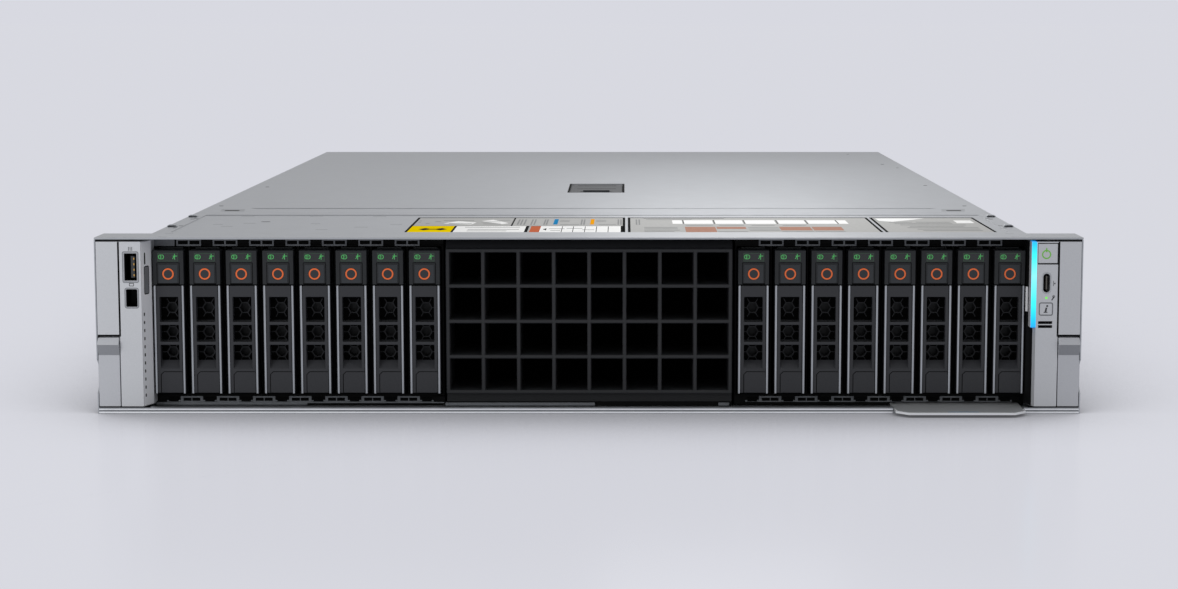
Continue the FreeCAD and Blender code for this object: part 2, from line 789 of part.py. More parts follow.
def panel_blank(name, side):
    """Ear moulding with its bevelled inner edge, its groove and room for the rack latch."""
    item = body(name)
    plan = [("panel_edge", "face"), ("panel_rim", "face"), ("panel_rim", "panel_back"),
            ("wall_in", "panel_back"), ("wall_in", "cage_y"), ("panel_foot", "cage_y"),
            ("panel_foot", "face + panel_bevel")]
    pad(item, "XY_Plane", ("panel_low", "panel_high"), [facing(side, plan)])
    latch_room = rectangle(("groove_in + groove_wall", "half_rack"), ("panel_low - overrun", "release_under"))
    pocket(item, "XZ_Plane", through("face", "panel_back"), [facing(side, latch_room)])
    groove = rectangle(("groove_in", "groove_out"), ("release_under - overrun", "panel_high + overrun"))
    pocket(item, "XZ_Plane", ("face - overrun", "face + groove_deep"), [facing(side, groove)])
    pad(item, "YZ_Plane", reach(side, "groove_in", "panel_rim - release_pin"), [],
        [("release_axis_y", "release_pin_z", "release_pin")])
    return item


def make_left_panel():
    item = panel_blank("left_control_panel", LEFT)
    pocket(item, "XZ_Plane", ("face - overrun", "face + port_deep"), [
        rectangle(around("-usb_middle", "usb_wide"), around("usb_height", "usb_tall")),
        rectangle(around("-display_middle", "display_wide"), around("display_height", "display_tall"))])
    tongue = box(around("-usb_middle + port_tongue_shift", "port_tongue"),
                 ("face + port_tongue_shift", "face + port_deep"),
                 around("usb_height", "usb_tall - 2 * port_tongue_margin"))
    node("left_control_panel", item, tongue)


def make_right_panel():
    item = panel_blank("right_control_panel", RIGHT)
    pocket(item, "XZ_Plane", ("face - overrun", "face + bar_deep"), [
        rectangle(("bar_inner - overrun", "bar_outer"), ("bar_low", "panel_high + overrun"))])
    pocket(item, "XZ_Plane", ("face - overrun", "face + button_deep + button_travel + button_gap"), [
        rectangle(around("power_middle", "power_size + 2 * button_gap"),
                  around("power_height", "power_size + 2 * button_gap")),
        rectangle(around("id_middle", "id_wide + 2 * button_gap"),
                  around("id_height", "id_tall + 2 * button_gap"))])
    pocket(item, "XZ_Plane", ("face - overrun", "face + port_deep"), [
        rectangle(around("usbc_middle", "usbc_wide"), around("usbc_height", "usbc_tall"))])
    pocket(item, "XZ_Plane", ("face - overrun", "face + ear_vent_deep"), [
        rectangle(around("id_middle", "ear_vent_wide"), around(height, "ear_vent_tall"))
        for height in ("ear_vent_height", "ear_vent_height - ear_vent_pitch")])
    light = box(("bar_inner", "bar_outer"), ("face", "face + bar_deep"), ("bar_low", "panel_high"))
    node("right_control_panel", item, light)


def make_front_buttons():
    depth = ("face", "face + button_deep")
    node("power_button",
         box(around("power_middle", "power_size"), depth, around("power_height", "power_size")))
    node("id_button", box(around("id_middle", "id_wide"), depth, around("id_height", "id_tall")))


def make_rack_latches():
    """Sprung levers with a V-shaped finger ridge, turning on a pin near the top."""
    for name, side in (("left_rack_latch", LEFT), ("right_rack_latch", RIGHT)):
        item = body(name)
        span = reach(side, "groove_out", "panel_rim")
        pad(item, "YZ_Plane", span, [[
            ("face + slide_gap", "release_top"), ("face - release_ridge", "release_ridge_z"),
            ("face", "release_low_z"), ("face", "panel_low"), ("face + release_sheet", "panel_low"),
            ("face + release_sheet", "release_low_z"),
            ("face + release_root", "release_ridge_z - release_root_slope"),
            ("face + release_root", "release_top")]])
        pocket(item, "YZ_Plane", through(*span), [],
               [("release_axis_y", "release_pin_z", "release_pin + pin_gap")])
        node(name, item)


def make_drive_cages():
    """Two cages of riveted sheets, each with eight bays between short dividers, and their front strips."""
    wide, deep = ("-cage_half", "cage_half"), ("cage_y", "backplane_y")
    sheets = [box(wide, deep, ("cage_floor", "bay_low")), box(wide, deep, ("cage_roof", "cage_top"))]
    sheets += [box(reach(side, "cage_half - cage_sheet", "cage_half"), deep, ("bay_low", "cage_roof"))
               for side in (LEFT, RIGHT)]
    dividers = [box(around(f"({wall} - {CAGE_BAYS / 2}) * bay_pitch", "cage_sheet"),
                    ("cage_y", "cage_y + divider_length"), ("bay_low", "cage_roof"))
                for wall in range(1, CAGE_BAYS)]
    front = ("cage_y", "cage_y + cage_sheet")
    head = box(wide, front, ("cage_top", "cage_strip_high"))
    foot = box(wide, front, ("cage_strip_low", "cage_floor"))
    tag_slot = box(("tag_left - slide_gap", "tag_right + slide_gap"), through(*front),
                   ("0", "tag_low + tag_sheet + slide_gap"))
    right_foot = difference(copy_at(foot, x="cage_middle"), tag_slot)
    node("drive_cages", *[copy_at(piece, x="-cage_middle") for piece in (*sheets, *dividers, head, foot)],
         *[copy_at(piece, x="cage_middle") for piece in (*sheets, *dividers, head)], right_foot)


def make_carrier():
    """Carrier frame with its screen, rails and lever pin, made once for every bay."""
    item = body("carrier_frame")
    pad(item, "XZ_Plane", ("screen_y", "screen_back"),
        [rectangle(("-carrier_half", "carrier_half"), ("carrier_low", "carrier_high"))])
    cheek = rectangle(("carrier_half - cheek", "carrier_half"), ("carrier_low", "cheek_high"))
    pad(item, "XZ_Plane", ("carrier_y", "screen_y + bite"), both_sides(cheek))
    pad(item, "XZ_Plane", ("carrier_y", "screen_y + bite"),
        [rectangle(("-carrier_half", "carrier_half"), ("block_low", "carrier_high"))])
    pocket(item, "XZ_Plane", ("carrier_y - overrun", "carrier_y + release_button_deep"), [
        rectangle(around("0", "release_button_wide + 2 * button_gap"),
                  ("button_low - button_gap", "button_low + release_button_tall + button_gap"))])
    rail = ("-rail_wide / 2", "rail_wide / 2")
    pad(item, "XZ_Plane", ("screen_back", "drive_end"),
        [rectangle(rail, ("drive_low - rail", "drive_low")),
         rectangle(rail, ("drive_high", "drive_high + rail"))])
    pad(item, "XZ_Plane", ("screen_y", "screen_back + bite"),
        [rectangle(rail, ("drive_low - rail", "carrier_low + bite")),
         rectangle(rail, ("carrier_high - bite", "drive_high + rail"))])
    pad(item, "YZ_Plane", ("-carrier_half + cheek / 2", "carrier_half - cheek / 2"),
        [polygon("lever_y", "lever_axis_z", "lever_pin", PIN_SIDES)])
    holes = [polygon("0", f"({low} + {high}) / 2", "screen_hole", 6) for low, high in (
        ("lever_sill", "window_low_top"), ("window_middle_low", "window_middle_top"),
        ("window_high_low", "window_high_top"))]
    pocket(item, "XZ_Plane", through("screen_y", "screen_back"), holes)
    return item


def make_carrier_lever():
    """Barred handle that turns at its foot on the carrier's pin."""
    item = body("carrier_lever")
    slant = f"lever_barrel * {math.sqrt(0.5):.6f}"
    pad(item, "YZ_Plane", ("-lever_half", "lever_half"), [[
        ("lever_face", "lever_top"), ("lever_face", "lever_low"), ("lever_y", "lever_axis_z - lever_barrel"),
        (f"lever_y + {slant}", f"lever_axis_z - {slant}"), ("lever_y + lever_barrel", "lever_axis_z"),
        (f"lever_y + {slant}", f"lever_axis_z + {slant}"), ("lever_back", "lever_axis_z + 2 * lever_barrel"),
        ("lever_back", "lever_top")]])
    pocket(item, "YZ_Plane", ("-lever_inner", "lever_inner"), [[
        ("lever_face - overrun", "lever_foot - overrun"), ("lever_back + overrun", "lever_sill + overrun"),
        ("lever_back + overrun", "window_low_top"), ("lever_face - overrun", "window_low_top")]])
    pocket(item, "XZ_Plane", through("lever_face", "lever_back"), [
        rectangle(("-lever_inner", "lever_inner"), ("window_middle_low", "window_middle_top")),
        rectangle(("-lever_inner", "lever_inner"), ("window_high_low", "window_high_top"))])
    pocket(item, "YZ_Plane", through("-lever_half", "lever_half"),
           [polygon("lever_y", "lever_axis_z", bore_round("lever_pin"), PIN_SIDES)])
    return item


def make_drives():
    frame = make_carrier()
    lever = make_carrier_lever()
    drive = box(around("0", "drive_thick"), ("drive_y", "drive_end"), ("drive_low", "drive_high"))
    button = box(around("0", "release_button_wide"),
                 ("carrier_y - release_button_proud", "carrier_y + release_button_deep"),
                 ("button_low", "button_low + release_button_tall"))
    for number, bay in enumerate(FILLED_BAYS, start=1):
        middle = f"({bay} - {MIDDLE_BAY}) * bay_pitch"
        place(node(f"drive_carrier_{number:02d}", frame, drive, button), x=middle)
        place(node(f"drive_lever_{number:02d}", lever), x=middle)


def make_air_grille():
    """Egg-crate grille between the cages, with a sloped hood and a foot on the floor."""
    item = body("air_grille")
    depth = ("grille_y", "grille_y + grille_depth")
    post = pad(item, "XZ_Plane", depth,
               [rectangle(("-grille_half", "-grille_half + grille_bar"), ("grille_low", "grille_high"))])
    pattern(item, post, "X_Axis", "2 * grille_half - grille_bar", GRILLE_COLUMNS + 1)
    shelf = pad(item, "XZ_Plane", depth,
                [rectangle(("-grille_half", "grille_half"), ("grille_low", "grille_low + grille_bar"))])
    pattern(item, shelf, "Z_Axis", "grille_high - grille_low - grille_bar", GRILLE_ROWS + 1)
    hood = "grille_high - grille_bar / 4"
    pad(item, "YZ_Plane", ("-grille_half", "grille_half"), [[
        ("grille_y + grille_bar / 2", hood), ("cage_y + cage_sheet", hood),
        ("cage_y + cage_sheet", "cage_strip_high"), ("cage_y", "cage_strip_high")]])
    pad(item, "XZ_Plane", ("cage_y - cage_sheet", "cage_y"),
        [rectangle(("-grille_half", "grille_half"), ("floor_sheet", "grille_low + bite"))])
    node("air_grille", item)


def make_info_tag():
    """Flat pull-out plate with cut front corners, lying on the floor of the case."""
    item = body("info_tag")
    tip = "face - tag_reach"
    pad(item, "XY_Plane", ("tag_low", "tag_low + tag_sheet"), [[
        ("tag_left + tag_corner", tip), ("tag_right - tag_corner", tip), ("tag_right", f"{tip} + tag_corner"),
        ("tag_right", f"{tip} + tag_length"), ("tag_left", f"{tip} + tag_length"),
        ("tag_left", f"{tip} + tag_corner")]])
    node("info_tag", item)


def make_backplanes():
    """Two circuit boards on the back of the cages, with one connector for each drive."""
    item = body("backplane")
    pad(item, "XZ_Plane", ("backplane_y", "backplane_y + board_sheet"),
        [rectangle(("-cage_half", "cage_half"), ("cage_floor - backplane_drop", "cage_top"))])
    plug = pad(item, "XZ_Plane", ("drive_end + connector_gap", "backplane_y + bite"), [
        rectangle(around(f"-{(CAGE_BAYS - 1) / 2} * bay_pitch", "connector_wide"),
                  around("bay_middle", "connector_tall"))])
    pattern(item, plug, "X_Axis", f"{CAGE_BAYS - 1} * bay_pitch", CAGE_BAYS)
    node("backplanes", copy_at(item, x="-cage_middle"), copy_at(item, x="cage_middle"))


def make_fan_housing():
    """Square frame with a round duct, and struts behind that carry the rotor's shaft."""
    item = body("fan_housing")
    pad(item, "XZ_Plane", ("fan_y", "fan_y + fan_depth"), [
        rectangle(("-fan_half", "fan_half"), ("fan_low", "fan_high")),
        polygon("0", "fan_middle_z", "fan_bore", BORE_SIDES)])
    end = ("stator_y", "fan_y + fan_depth")
    across = "2 * (fan_bore + strut_bite)"
    pad(item, "XZ_Plane", end, [rectangle(around("0", across), around("fan_middle_z", "strut"))])
    pad(item, "XZ_Plane", end, [rectangle(around("0", "strut"), around("fan_middle_z", across))])
    pad(item, "XZ_Plane", end, [polygon("0", "fan_middle_z", "stator", 3 * BLADES)])
    pocket(item, "XZ_Plane", through(*end),
           [polygon("0", "fan_middle_z", bore_round("fan_shaft"), PIN_SIDES)])
    return item


def make_fan_rotor():
    """Hub with slanted blades, on a shaft that turns in the housing's stator."""
    item = body("rotor")
    pad(item, "XZ_Plane", ("hub_start", "hub_end"), [polygon("0", "0", "fan_hub", 3 * BLADES)])
    pad(item, "XZ_Plane", ("hub_end - bite", "fan_y + fan_depth - fan_shaft_end"),
        [polygon("0", "0", "fan_shaft", PIN_SIDES)])
    front, back = "hub_start + fan_blade_margin", "hub_end - fan_blade_margin"
    blade = pad(item, "YZ_Plane", ("fan_blade_root", "fan_blade_tip"), [[
        (front, "-fan_blade_rise"), (f"{front} + fan_blade", "-fan_blade_rise"),
        (back, "fan_blade_rise"), (f"{back} - fan_blade", "fan_blade_rise")]])
    wheel = item.newObject("PartDesign::PolarPattern", "rotor_wheel")
    wheel.Originals = [blade]
    wheel.Axis = (origin_plane(item, "Y_Axis"), [""])
    wheel.Angle = 360
    wheel.Occurrences = BLADES
    item.Tip = wheel
    return item


def make_fans():
    """Six fans side by side in a folded tray across the case."""
    tray = body("fan_tray")
    inner = "tray_half_width - wall_sheet"
    pad(tray, "XZ_Plane", ("fan_y", "fan_y + fan_depth"), [[
        ("-tray_half_width", "floor_sheet"), ("tray_half_width", "floor_sheet"),
        ("tray_half_width", "tray_high"), (inner, "tray_high"), (inner, "fan_low"),
        (f"-({inner})", "fan_low"), (f"-({inner})", "tray_high"), ("-tray_half_width", "tray_high")]])
    housing, rotor = make_fan_housing(), make_fan_rotor()
    middles = [f"({number} - {(FANS - 1) / 2}) * fan_pitch" for number in range(FANS)]
    node("fan_cage", tray, *[copy_at(housing, x=middle) for middle in middles])
    for number, middle in enumerate(middles, start=1):
        place(node(f"fan_rotor_{number}", rotor), x=middle, z="fan_middle_z")


def memory_places():
    """Middles of the memory slots, counted outward from the heat sink on both sides."""
    for number in range(MEMORY_EACH_SIDE):
        for sign in ("", "-"):
            yield f"{sign}(memory_first + {number} * memory_pitch)"


def make_system_board():
    """Board with standoffs, processor socket, memory sockets and the rear ports."""
    item = body("system_board")
    pad(item, "XY_Plane", ("mainboard_height", "board_top"), [[
        ("-board_wing_half", "board_y"), ("board_wing_half", "board_y"), ("board_wing_half", "board_wing_y"),
        ("board_half", "board_wing_y"), ("board_half", "board_end"), ("-board_half", "board_end"),
        ("-board_half", "board_wing_y"), ("-board_wing_half", "board_wing_y")]])
    columns = ("-board_half + standoff_in", "0", "board_half - standoff_in")
    rows = ("board_y + standoff_front", "rear - standoff_rear")
    pad(item, "XY_Plane", ("floor_sheet", "mainboard_height + bite"),
        [polygon(x, y, "standoff", 6) for x in columns for y in rows])
    socket = box(around("0", "socket_size"),
                 around("sink_y + sink_length / 2", "socket_size + 2 * socket_frame"),
                 ("board_top", "sink_z"))
    sockets = [box(around(middle, "memory_socket_wide"),
                   around("memory_y + memory_length / 2", "memory_length + 2 * memory_socket_end"),
                   ("board_top", "board_top + memory_socket")) for middle in memory_places()]
    ports = []
    for middle, wide, tall in rear_ports():
        depth = "card_slot_deep" if wide == "card_slot_wide" else "network_deep"
        shell = box(around(middle, wide), (f"rear - {depth}", "rear"), ("board_top", f"board_top + {tall}"))
        if wide == "network_wide":
            sill = "board_top + jack_sill"
            shell = difference(shell, box(around(middle, "jack_wide"), ("rear - jack_deep", "rear + overrun"),
                                          (sill, f"{sill} + jack_tall")))
        ports.append(shell)
    node("system_board", union(item, socket, *sockets, *ports))


def make_heat_sink():
    item = body("heat_sink")
    half, depth = "sink_width / 2", ("sink_y", "sink_y + sink_length")
    pad(item, "XY_Plane", ("sink_z", "sink_z + sink_base"), [rectangle((f"-{half}", half), depth)])
    fin = pad(item, "XY_Plane", ("sink_z + sink_base - bite", "sink_top"),
              [rectangle((f"-{half}", f"-{half} + fin"), depth)])
    pattern(item, fin, "X_Axis", "sink_width - fin", FINS)
    node("heat_sink", item)


def make_memory():
    low = "board_top + memory_socket"
    modules = [box(around(middle, "memory_thick"), ("memory_y", "memory_y + memory_length"),
                   (low, f"{low} + memory_tall")) for middle in memory_places()]
    node("memory_modules", *modules)


def make_air_shroud():
    """Moulded hood that leads the air over the processor and the memory."""
    item = body("air_shroud")
    outer = [("shroud_half", "board_top"), ("shroud_half", "shroud_top"),
             ("shroud_dip_half + shroud_slope", "shroud_top"), ("shroud_dip_half", "shroud_dip")]
    slope, under = "0.6 * shroud_sheet", "shroud_top - shroud_sheet"
    inner = [(f"shroud_dip_half + {slope}", "shroud_dip - shroud_sheet"),
             (f"shroud_dip_half + shroud_slope + {slope}", under),
             ("shroud_half - shroud_sheet", under), ("shroud_half - shroud_sheet", "board_top")]
    section = outer + facing(LEFT, outer)[::-1] + facing(LEFT, inner)[::-1] + inner
    pad(item, "XZ_Plane", ("shroud_y", "shroud_y + shroud_length"), [section])
    node("air_shroud", item)


def make_riser_cages():
    """Two card cages behind the rear windows, each with two slot openings one over the other."""
    pieces = []
    for side in (LEFT, RIGHT):
        item = body("riser_cage")
        inner, outer, low, high = "riser_inner", "riser_outer", "riser_low", "riser_high"
        under = f"{high} - wall_sheet"
        hood = [(inner, low), (inner, high), (outer, high), (outer, low), (f"{outer} - wall_sheet", low),
                (f"{outer} - wall_sheet", under), (f"{inner} + wall_sheet", under),
                (f"{inner} + wall_sheet", low)]
        pad(item, "XZ_Plane", ("rear_inside - riser_length", "rear_inside"), [facing(side, hood)])
        plates = [rectangle((f"{inner} + bracket_play", f"{outer} - bracket_play"),
                            (low, f"{high} - bracket_play"))]
        for number in range(2):
            sill = f"{low} + slot_sill + {number} * (slot_tall + slot_web)"
            plates.append(rectangle((f"{inner} + slot_side", f"{outer} - slot_side"),
                                    (sill, f"{sill} + slot_tall")))
        pad(item, "XZ_Plane", ("rear_inside - wall_sheet", "rear_inside"),
            [facing(side, corners) for corners in plates])
        pieces.append(item)
    node("riser_cages", *pieces)


def make_power_supplies():
    """Slide-in supply units, each with a mains inlet and a folded pull handle."""
    for name, side in (("psu_1", LEFT), ("psu_2", RIGHT)):
        case = body(name)
        middle = "psu_middle" if side == RIGHT else "-psu_middle"
        pad(case, "XZ_Plane", ("rear - psu_length", "rear"),
            [rectangle(around(middle, "psu_width"), ("psu_low", "psu_top"))])
        sill = "psu_low + inlet_sill"
        pocket(case, "XZ_Plane", ("rear - inlet_deep", "rear + overrun"),
               [rectangle(around(f"{middle} - inlet_shift", "inlet_wide"), (sill, f"{sill} + inlet_tall"))])
        handle = body(name + "_handle")
        left, right = around(f"{middle} + handle_shift", "handle_wide")
        tip, bend = "rear + psu_reach", "rear + psu_reach - handle_slant"
        pad(handle, "XY_Plane", ("psu_top - handle_drop - handle_tall", "psu_top - handle_drop"), [[
            (left, "rear"), (left, bend), (f"{left} + handle_slant", tip), (f"{right} - handle_slant", tip),
            (right, bend), (right, "rear"), (f"{right} - handle_bar", "rear"),
            (f"{right} - handle_bar", f"{bend} - handle_bar / 2"),
            (f"{right} - handle_slant - handle_bar / 2", f"{tip} - handle_bar"),
            (f"{left} + handle_slant + handle_bar / 2", f"{tip} - handle_bar"),
            (f"{left} + handle_bar", f"{bend} - handle_bar / 2"), (f"{left} + handle_bar", "rear")]])
        node(name, case, handle)


make_chassis()
make_front_cover()
make_top_cover()
make_cover_latch()
make_left_panel()
make_right_panel()
make_front_buttons()
make_rack_latches()
make_drive_cages()
make_drives()
make_air_grille()
make_info_tag()
make_backplanes()
make_fans()
make_system_board()
make_heat_sink()
make_memory()
make_air_shroud()
make_riser_cages()
make_power_supplies()
doc.recompute()

for item in doc.Objects:
    if "Invalid" in item.State or "Error" in item.State:
        raise RuntimeError(f"{item.Label} did not build: {item.State}")
for item in nodes:
    if item.Shape.isNull() or not item.Shape.isValid():
        raise RuntimeError(f"{item.Label} has no valid shape")
os.makedirs("parts", exist_ok=True)
for item in nodes:
    item.Shape.exportStep(f"parts/{item.Label}.step")
print(f"{len(nodes)} nodes, {sum(len(item.Shape.Solids) for item in nodes)} solids")
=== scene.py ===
import math
from types import SimpleNamespace

import bmesh
import bpy
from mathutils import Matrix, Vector


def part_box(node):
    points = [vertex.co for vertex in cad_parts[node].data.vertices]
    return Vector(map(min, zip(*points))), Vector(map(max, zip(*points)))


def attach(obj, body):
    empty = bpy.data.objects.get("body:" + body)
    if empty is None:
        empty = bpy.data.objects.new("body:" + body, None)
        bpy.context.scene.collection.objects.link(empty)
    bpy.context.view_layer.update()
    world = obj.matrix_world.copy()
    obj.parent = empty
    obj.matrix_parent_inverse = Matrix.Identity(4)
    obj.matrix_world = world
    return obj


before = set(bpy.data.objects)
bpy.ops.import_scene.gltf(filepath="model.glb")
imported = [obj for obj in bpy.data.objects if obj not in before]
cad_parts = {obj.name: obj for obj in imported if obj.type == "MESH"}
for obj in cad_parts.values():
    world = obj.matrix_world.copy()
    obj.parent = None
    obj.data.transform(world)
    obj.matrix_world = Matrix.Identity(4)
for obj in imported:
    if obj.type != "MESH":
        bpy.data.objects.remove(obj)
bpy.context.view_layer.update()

# ---------------------------------------------------------------------------
# Case: a tub folded from 1 mm galvanised steel, with rack flanges and a
# pierced rear wall. The zinc is a satin grey with faint crystals. The front
# lip is rolled over; its two round edges are painted near white as a
# highlight, and the gap between them is painted dark as shade.
MM = 0.001
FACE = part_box("left_control_panel")[0].y / MM    # front plane of the ears, from which depths are measured
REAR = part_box("chassis")[1].y / MM - FACE        # outside of the rear wall


def at(across, depth, up):
    """A point of the server: from its middle, behind the face of the ears, above its underside, in mm."""
    return Vector((across, FACE + depth, up)) * MM


def extent(name):
    """Where a CAD piece ends on each side, measured as in at()."""
    low, high = (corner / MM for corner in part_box(name))
    return SimpleNamespace(left=low.x, right=high.x, front=low.y - FACE, back=high.y - FACE,
                           low=low.z, high=high.z)


def linear(colour):
    """An sRGB hex colour in the linear values that shaders take."""
    channels = [int(colour[k:k + 2], 16) / 255 for k in (0, 2, 4)]
    return [c / 12.92 if c < 0.04045 else ((c + 0.055) / 1.055) ** 2.4 for c in channels] + [1]


def add(tree, kind, settings=None, links=None):
    """A shader node with its settings and with its inputs linked from other nodes' outputs."""
    node = tree.nodes.new("ShaderNode" + kind)
    for name, value in (settings or {}).items():
        if name in node.inputs:
            node.inputs[name].default_value = value
        else:
            setattr(node, name, value)
    for name, socket in (links or {}).items():
        tree.links.new(socket, node.inputs[name])
    return node


def surface(name, dark, light, grain, relief, roughness, metallic=0, specular=0.5, stretch=(1, 1, 1)):
    """A material that wanders between two tones over a grain of that size, with that relief, in mm."""
    material = bpy.data.materials.new(name)
    material.use_nodes = True
    tree = material.node_tree
    shader = tree.nodes["Principled BSDF"]
    shader.inputs["Metallic"].default_value = metallic
    shader.inputs["Specular IOR Level"].default_value = specular
    place = add(tree, "TexCoord")
    scaled = add(tree, "Mapping", {"Scale": stretch}, {"Vector": place.outputs["Object"]})
    noise = add(tree, "TexNoise", {"Scale": 1 / (grain * MM), "Detail": 3.0},
                {"Vector": scaled.outputs["Vector"]})
    tone = add(tree, "ValToRGB", links={"Fac": noise.outputs["Fac"]})
    for stop, position, colour in zip(tone.color_ramp.elements, (0.3, 0.7), (dark, light)):
        stop.position = position
        stop.color = linear(colour)
    tree.links.new(tone.outputs["Color"], shader.inputs["Base Color"])
    rough = add(tree, "MapRange", {"To Min": roughness - 0.04, "To Max": roughness + 0.04},
                {"Value": noise.outputs["Fac"]})
    tree.links.new(rough.outputs["Result"], shader.inputs["Roughness"])
    if relief:
        bump = add(tree, "Bump", {"Strength": 0.6, "Distance": relief * MM}, {"Height": noise.outputs["Fac"]})
        tree.links.new(bump.outputs["Normal"], shader.inputs["Normal"])
    return material


def rounded(item, width):
    """Small radius on every sharp edge, in mm, as on folded sheet and moulded plastic."""
    weld = item.modifiers.new("weld", "WELD")
    weld.merge_threshold = 0.001 * MM
    bevel = item.modifiers.new("edges", "BEVEL")
    bevel.width = width * MM
    bevel.segments = 2
    bevel.limit_method = "ANGLE"
    bevel.angle_limit = math.radians(35)
    bevel.harden_normals = True


def dress(name, material, edge):
    """A CAD piece in its finish, with rounded edges."""
    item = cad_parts[name]
    item.data.materials.clear()
    item.data.materials.append(material)
    rounded(item, edge)


def side(back, up, across):
    """Sketch plane seen from the side: pushed from one place across the server to another."""
    return at(across, back, up)


def rect(left, right, low, high):
    return [(left, low), (right, low), (right, high), (left, high)]


def circle(u, v, radius, count):
    turns = [2 * math.pi * k / count for k in range(count)]
    return [(u + radius * math.cos(turn), v + radius * math.sin(turn)) for turn in turns]


def solid(name, shapes):
    """A mesh of closed shapes: each is a plane, an outline, a span, and an inner outline where it is open."""
    build = bmesh.new()
    for plane, outline, (start, end), *hole in shapes:
        rings = [[build.verts.new(plane(u, v, depth)) for u, v in points]
                 for points in [outline, *hole] for depth in (start, end)]
        for ring_start, ring_end in zip(rings[::2], rings[1::2]):
            for k in range(len(ring_start)):
                build.faces.new((ring_start[k - 1], ring_start[k], ring_end[k], ring_end[k - 1]))
        if hole:
            for outer, inner in ((rings[0], rings[2]), (rings[1], rings[3])):
                for k in range(len(outer)):
                    build.faces.new((outer[k - 1], outer[k], inner[k], inner[k - 1]))
        else:
            build.faces.new(rings[0])
            build.faces.new(rings[1])
    bmesh.ops.recalc_face_normals(build, faces=build.faces)
    mesh = bpy.data.meshes.new(name)
    build.to_mesh(mesh)
    build.free()
    return mesh


def fit(name, mesh, body, material, edge, shift=(0, 0, 0)):
    """A piece that moves with a body; the shift, in mm, places a copy of a shared mesh."""
    item = bpy.data.objects.new(name, mesh)
    bpy.context.scene.collection.objects.link(item)
    if not mesh.materials:
        mesh.materials.append(material)
    item.location = Vector(shift) * MM
    if edge:
        rounded(item, edge)
    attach(item, body)


def piece(name, material, edge, shapes, body="server_case"):
    """A piece of closed shapes that moves with a body, with edges of that radius in mm, or sharp at 0."""
    fit(name, solid(name, shapes), body, material, edge)


galvanised_steel = surface("galvanised_steel", "a9acb0", "b6b9bd", grain=6, relief=0.01, roughness=0.36,
                           metallic=0.85)
stainless = surface("stainless_steel", "9fa2a6", "b0b3b7", grain=0.4, relief=0.004, roughness=0.3,
                    metallic=0.9, stretch=(1, 1, 0.05))
dress("chassis", galvanised_steel, 0.35)
# The hems' near-white tone is a painted highlight on their round edges.
lip_hem_highlight = surface("hem_painted_highlight", "f0f2f6", "f6f8fc", grain=4, relief=0.004, roughness=0.3, metallic=0.35)
# A dark strip in the gap between the two hems: painted shade.
hem_gap_shade = surface("hem_gap_painted_shade", "3a3b3d", "424345", grain=4, relief=0, roughness=0.6, specular=0.2)
LIP_END = 240.4
TAG_GAP = 0.6
tag_left, tag_right = (corner.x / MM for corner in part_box("info_tag"))
LIP_SPANS = [(-LIP_END, tag_left - TAG_GAP), (tag_right + TAG_GAP, LIP_END)]
piece("lip_hems", lip_hem_highlight, 0, [
    (side, [(0.3, low), (0.05, low), (-0.25, low + 0.35), (-0.25, high - 0.35), (0.05, high), (0.3, high)],
     span) for span in LIP_SPANS for low, high in ((0.02, 1), (1.75, 2.35))])
piece("lip_gap_shade", hem_gap_shade, 0, [
    (side, rect(0.02, 0.3, 1, 1.75), span) for span in LIP_SPANS])
STUD_DEPTHS = (58, 236, 448, 660)
STUD_HEIGHT = 43
STUD_STEPS = ((2.2, 219.6), (3.6, 220.6))        # shank and head: radius, and how far out each reaches
piece("rail_studs", stainless, 0.2, [
    (side, circle(depth, STUD_HEIGHT, radius, 20), (sign * 216.9, sign * reach))
    for depth in STUD_DEPTHS for sign in (-1, 1) for radius, reach in STUD_STEPS])

# ---------------------------------------------------------------------------
# Front cover: zinc-coated sheet screwed over the drives, with a pressed field
# for three printed polyester sheets. They carry plain colour fields and bars
# instead of words and signs, and their matte film takes all the shine away.
COVER_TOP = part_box("top_cover")[1].z / MM


def above_from(depth=0, height=0):
    """A sketch plane seen from above, pushed upwards, that measures from a depth and a height."""
    return lambda across, back, up: at(across, depth + back, height + up)


def soft_rect(left, right, low, high, radius):
    """A rectangle with round corners, each of five points."""
    outline = []
    corners = ((right, high, 0), (left, high, 1), (left, low, 2), (right, low, 3))
    for u, v, quarter in corners:
        middle_u = u - math.copysign(radius, u - (left + right) / 2)
        middle_v = v - math.copysign(radius, v - (low + high) / 2)
        for k in range(5):
            turn = math.pi / 2 * (quarter + k / 4)
            outline.append((middle_u + radius * math.cos(turn), middle_v + radius * math.sin(turn)))
    return outline


def blocks(plane, span, *sides):
    """A square-cornered block over that span for each set of four sides."""
    return [(plane, rect(*four), span) for four in sides]


def ink(name, dark, light):
    """Print on polyester film, matte and without a sheen."""
    return surface(name, dark, light, grain=2, relief=0.002, roughness=0.8, specular=0)


cover = above_from(0, COVER_TOP)
field = above_from(0, COVER_TOP - 0.4)           # floor of the pressed field
TINT = (-0.02, 0.02)
GAP = (-0.02, 0.03)
cover_steel = surface("zinc_coated_cover_sheet", "a3a6aa", "aaadb1", grain=9, relief=0.006, roughness=0.42,
                      metallic=0.3)
# A darker copy of the cover sheet on the dimples, lances and beads: painted shade.
pressed_sheet_shade = surface("cover_sheet_painted_shade", "8c8f93", "939699", grain=9, relief=0.006, roughness=0.42,
                        metallic=0.3)
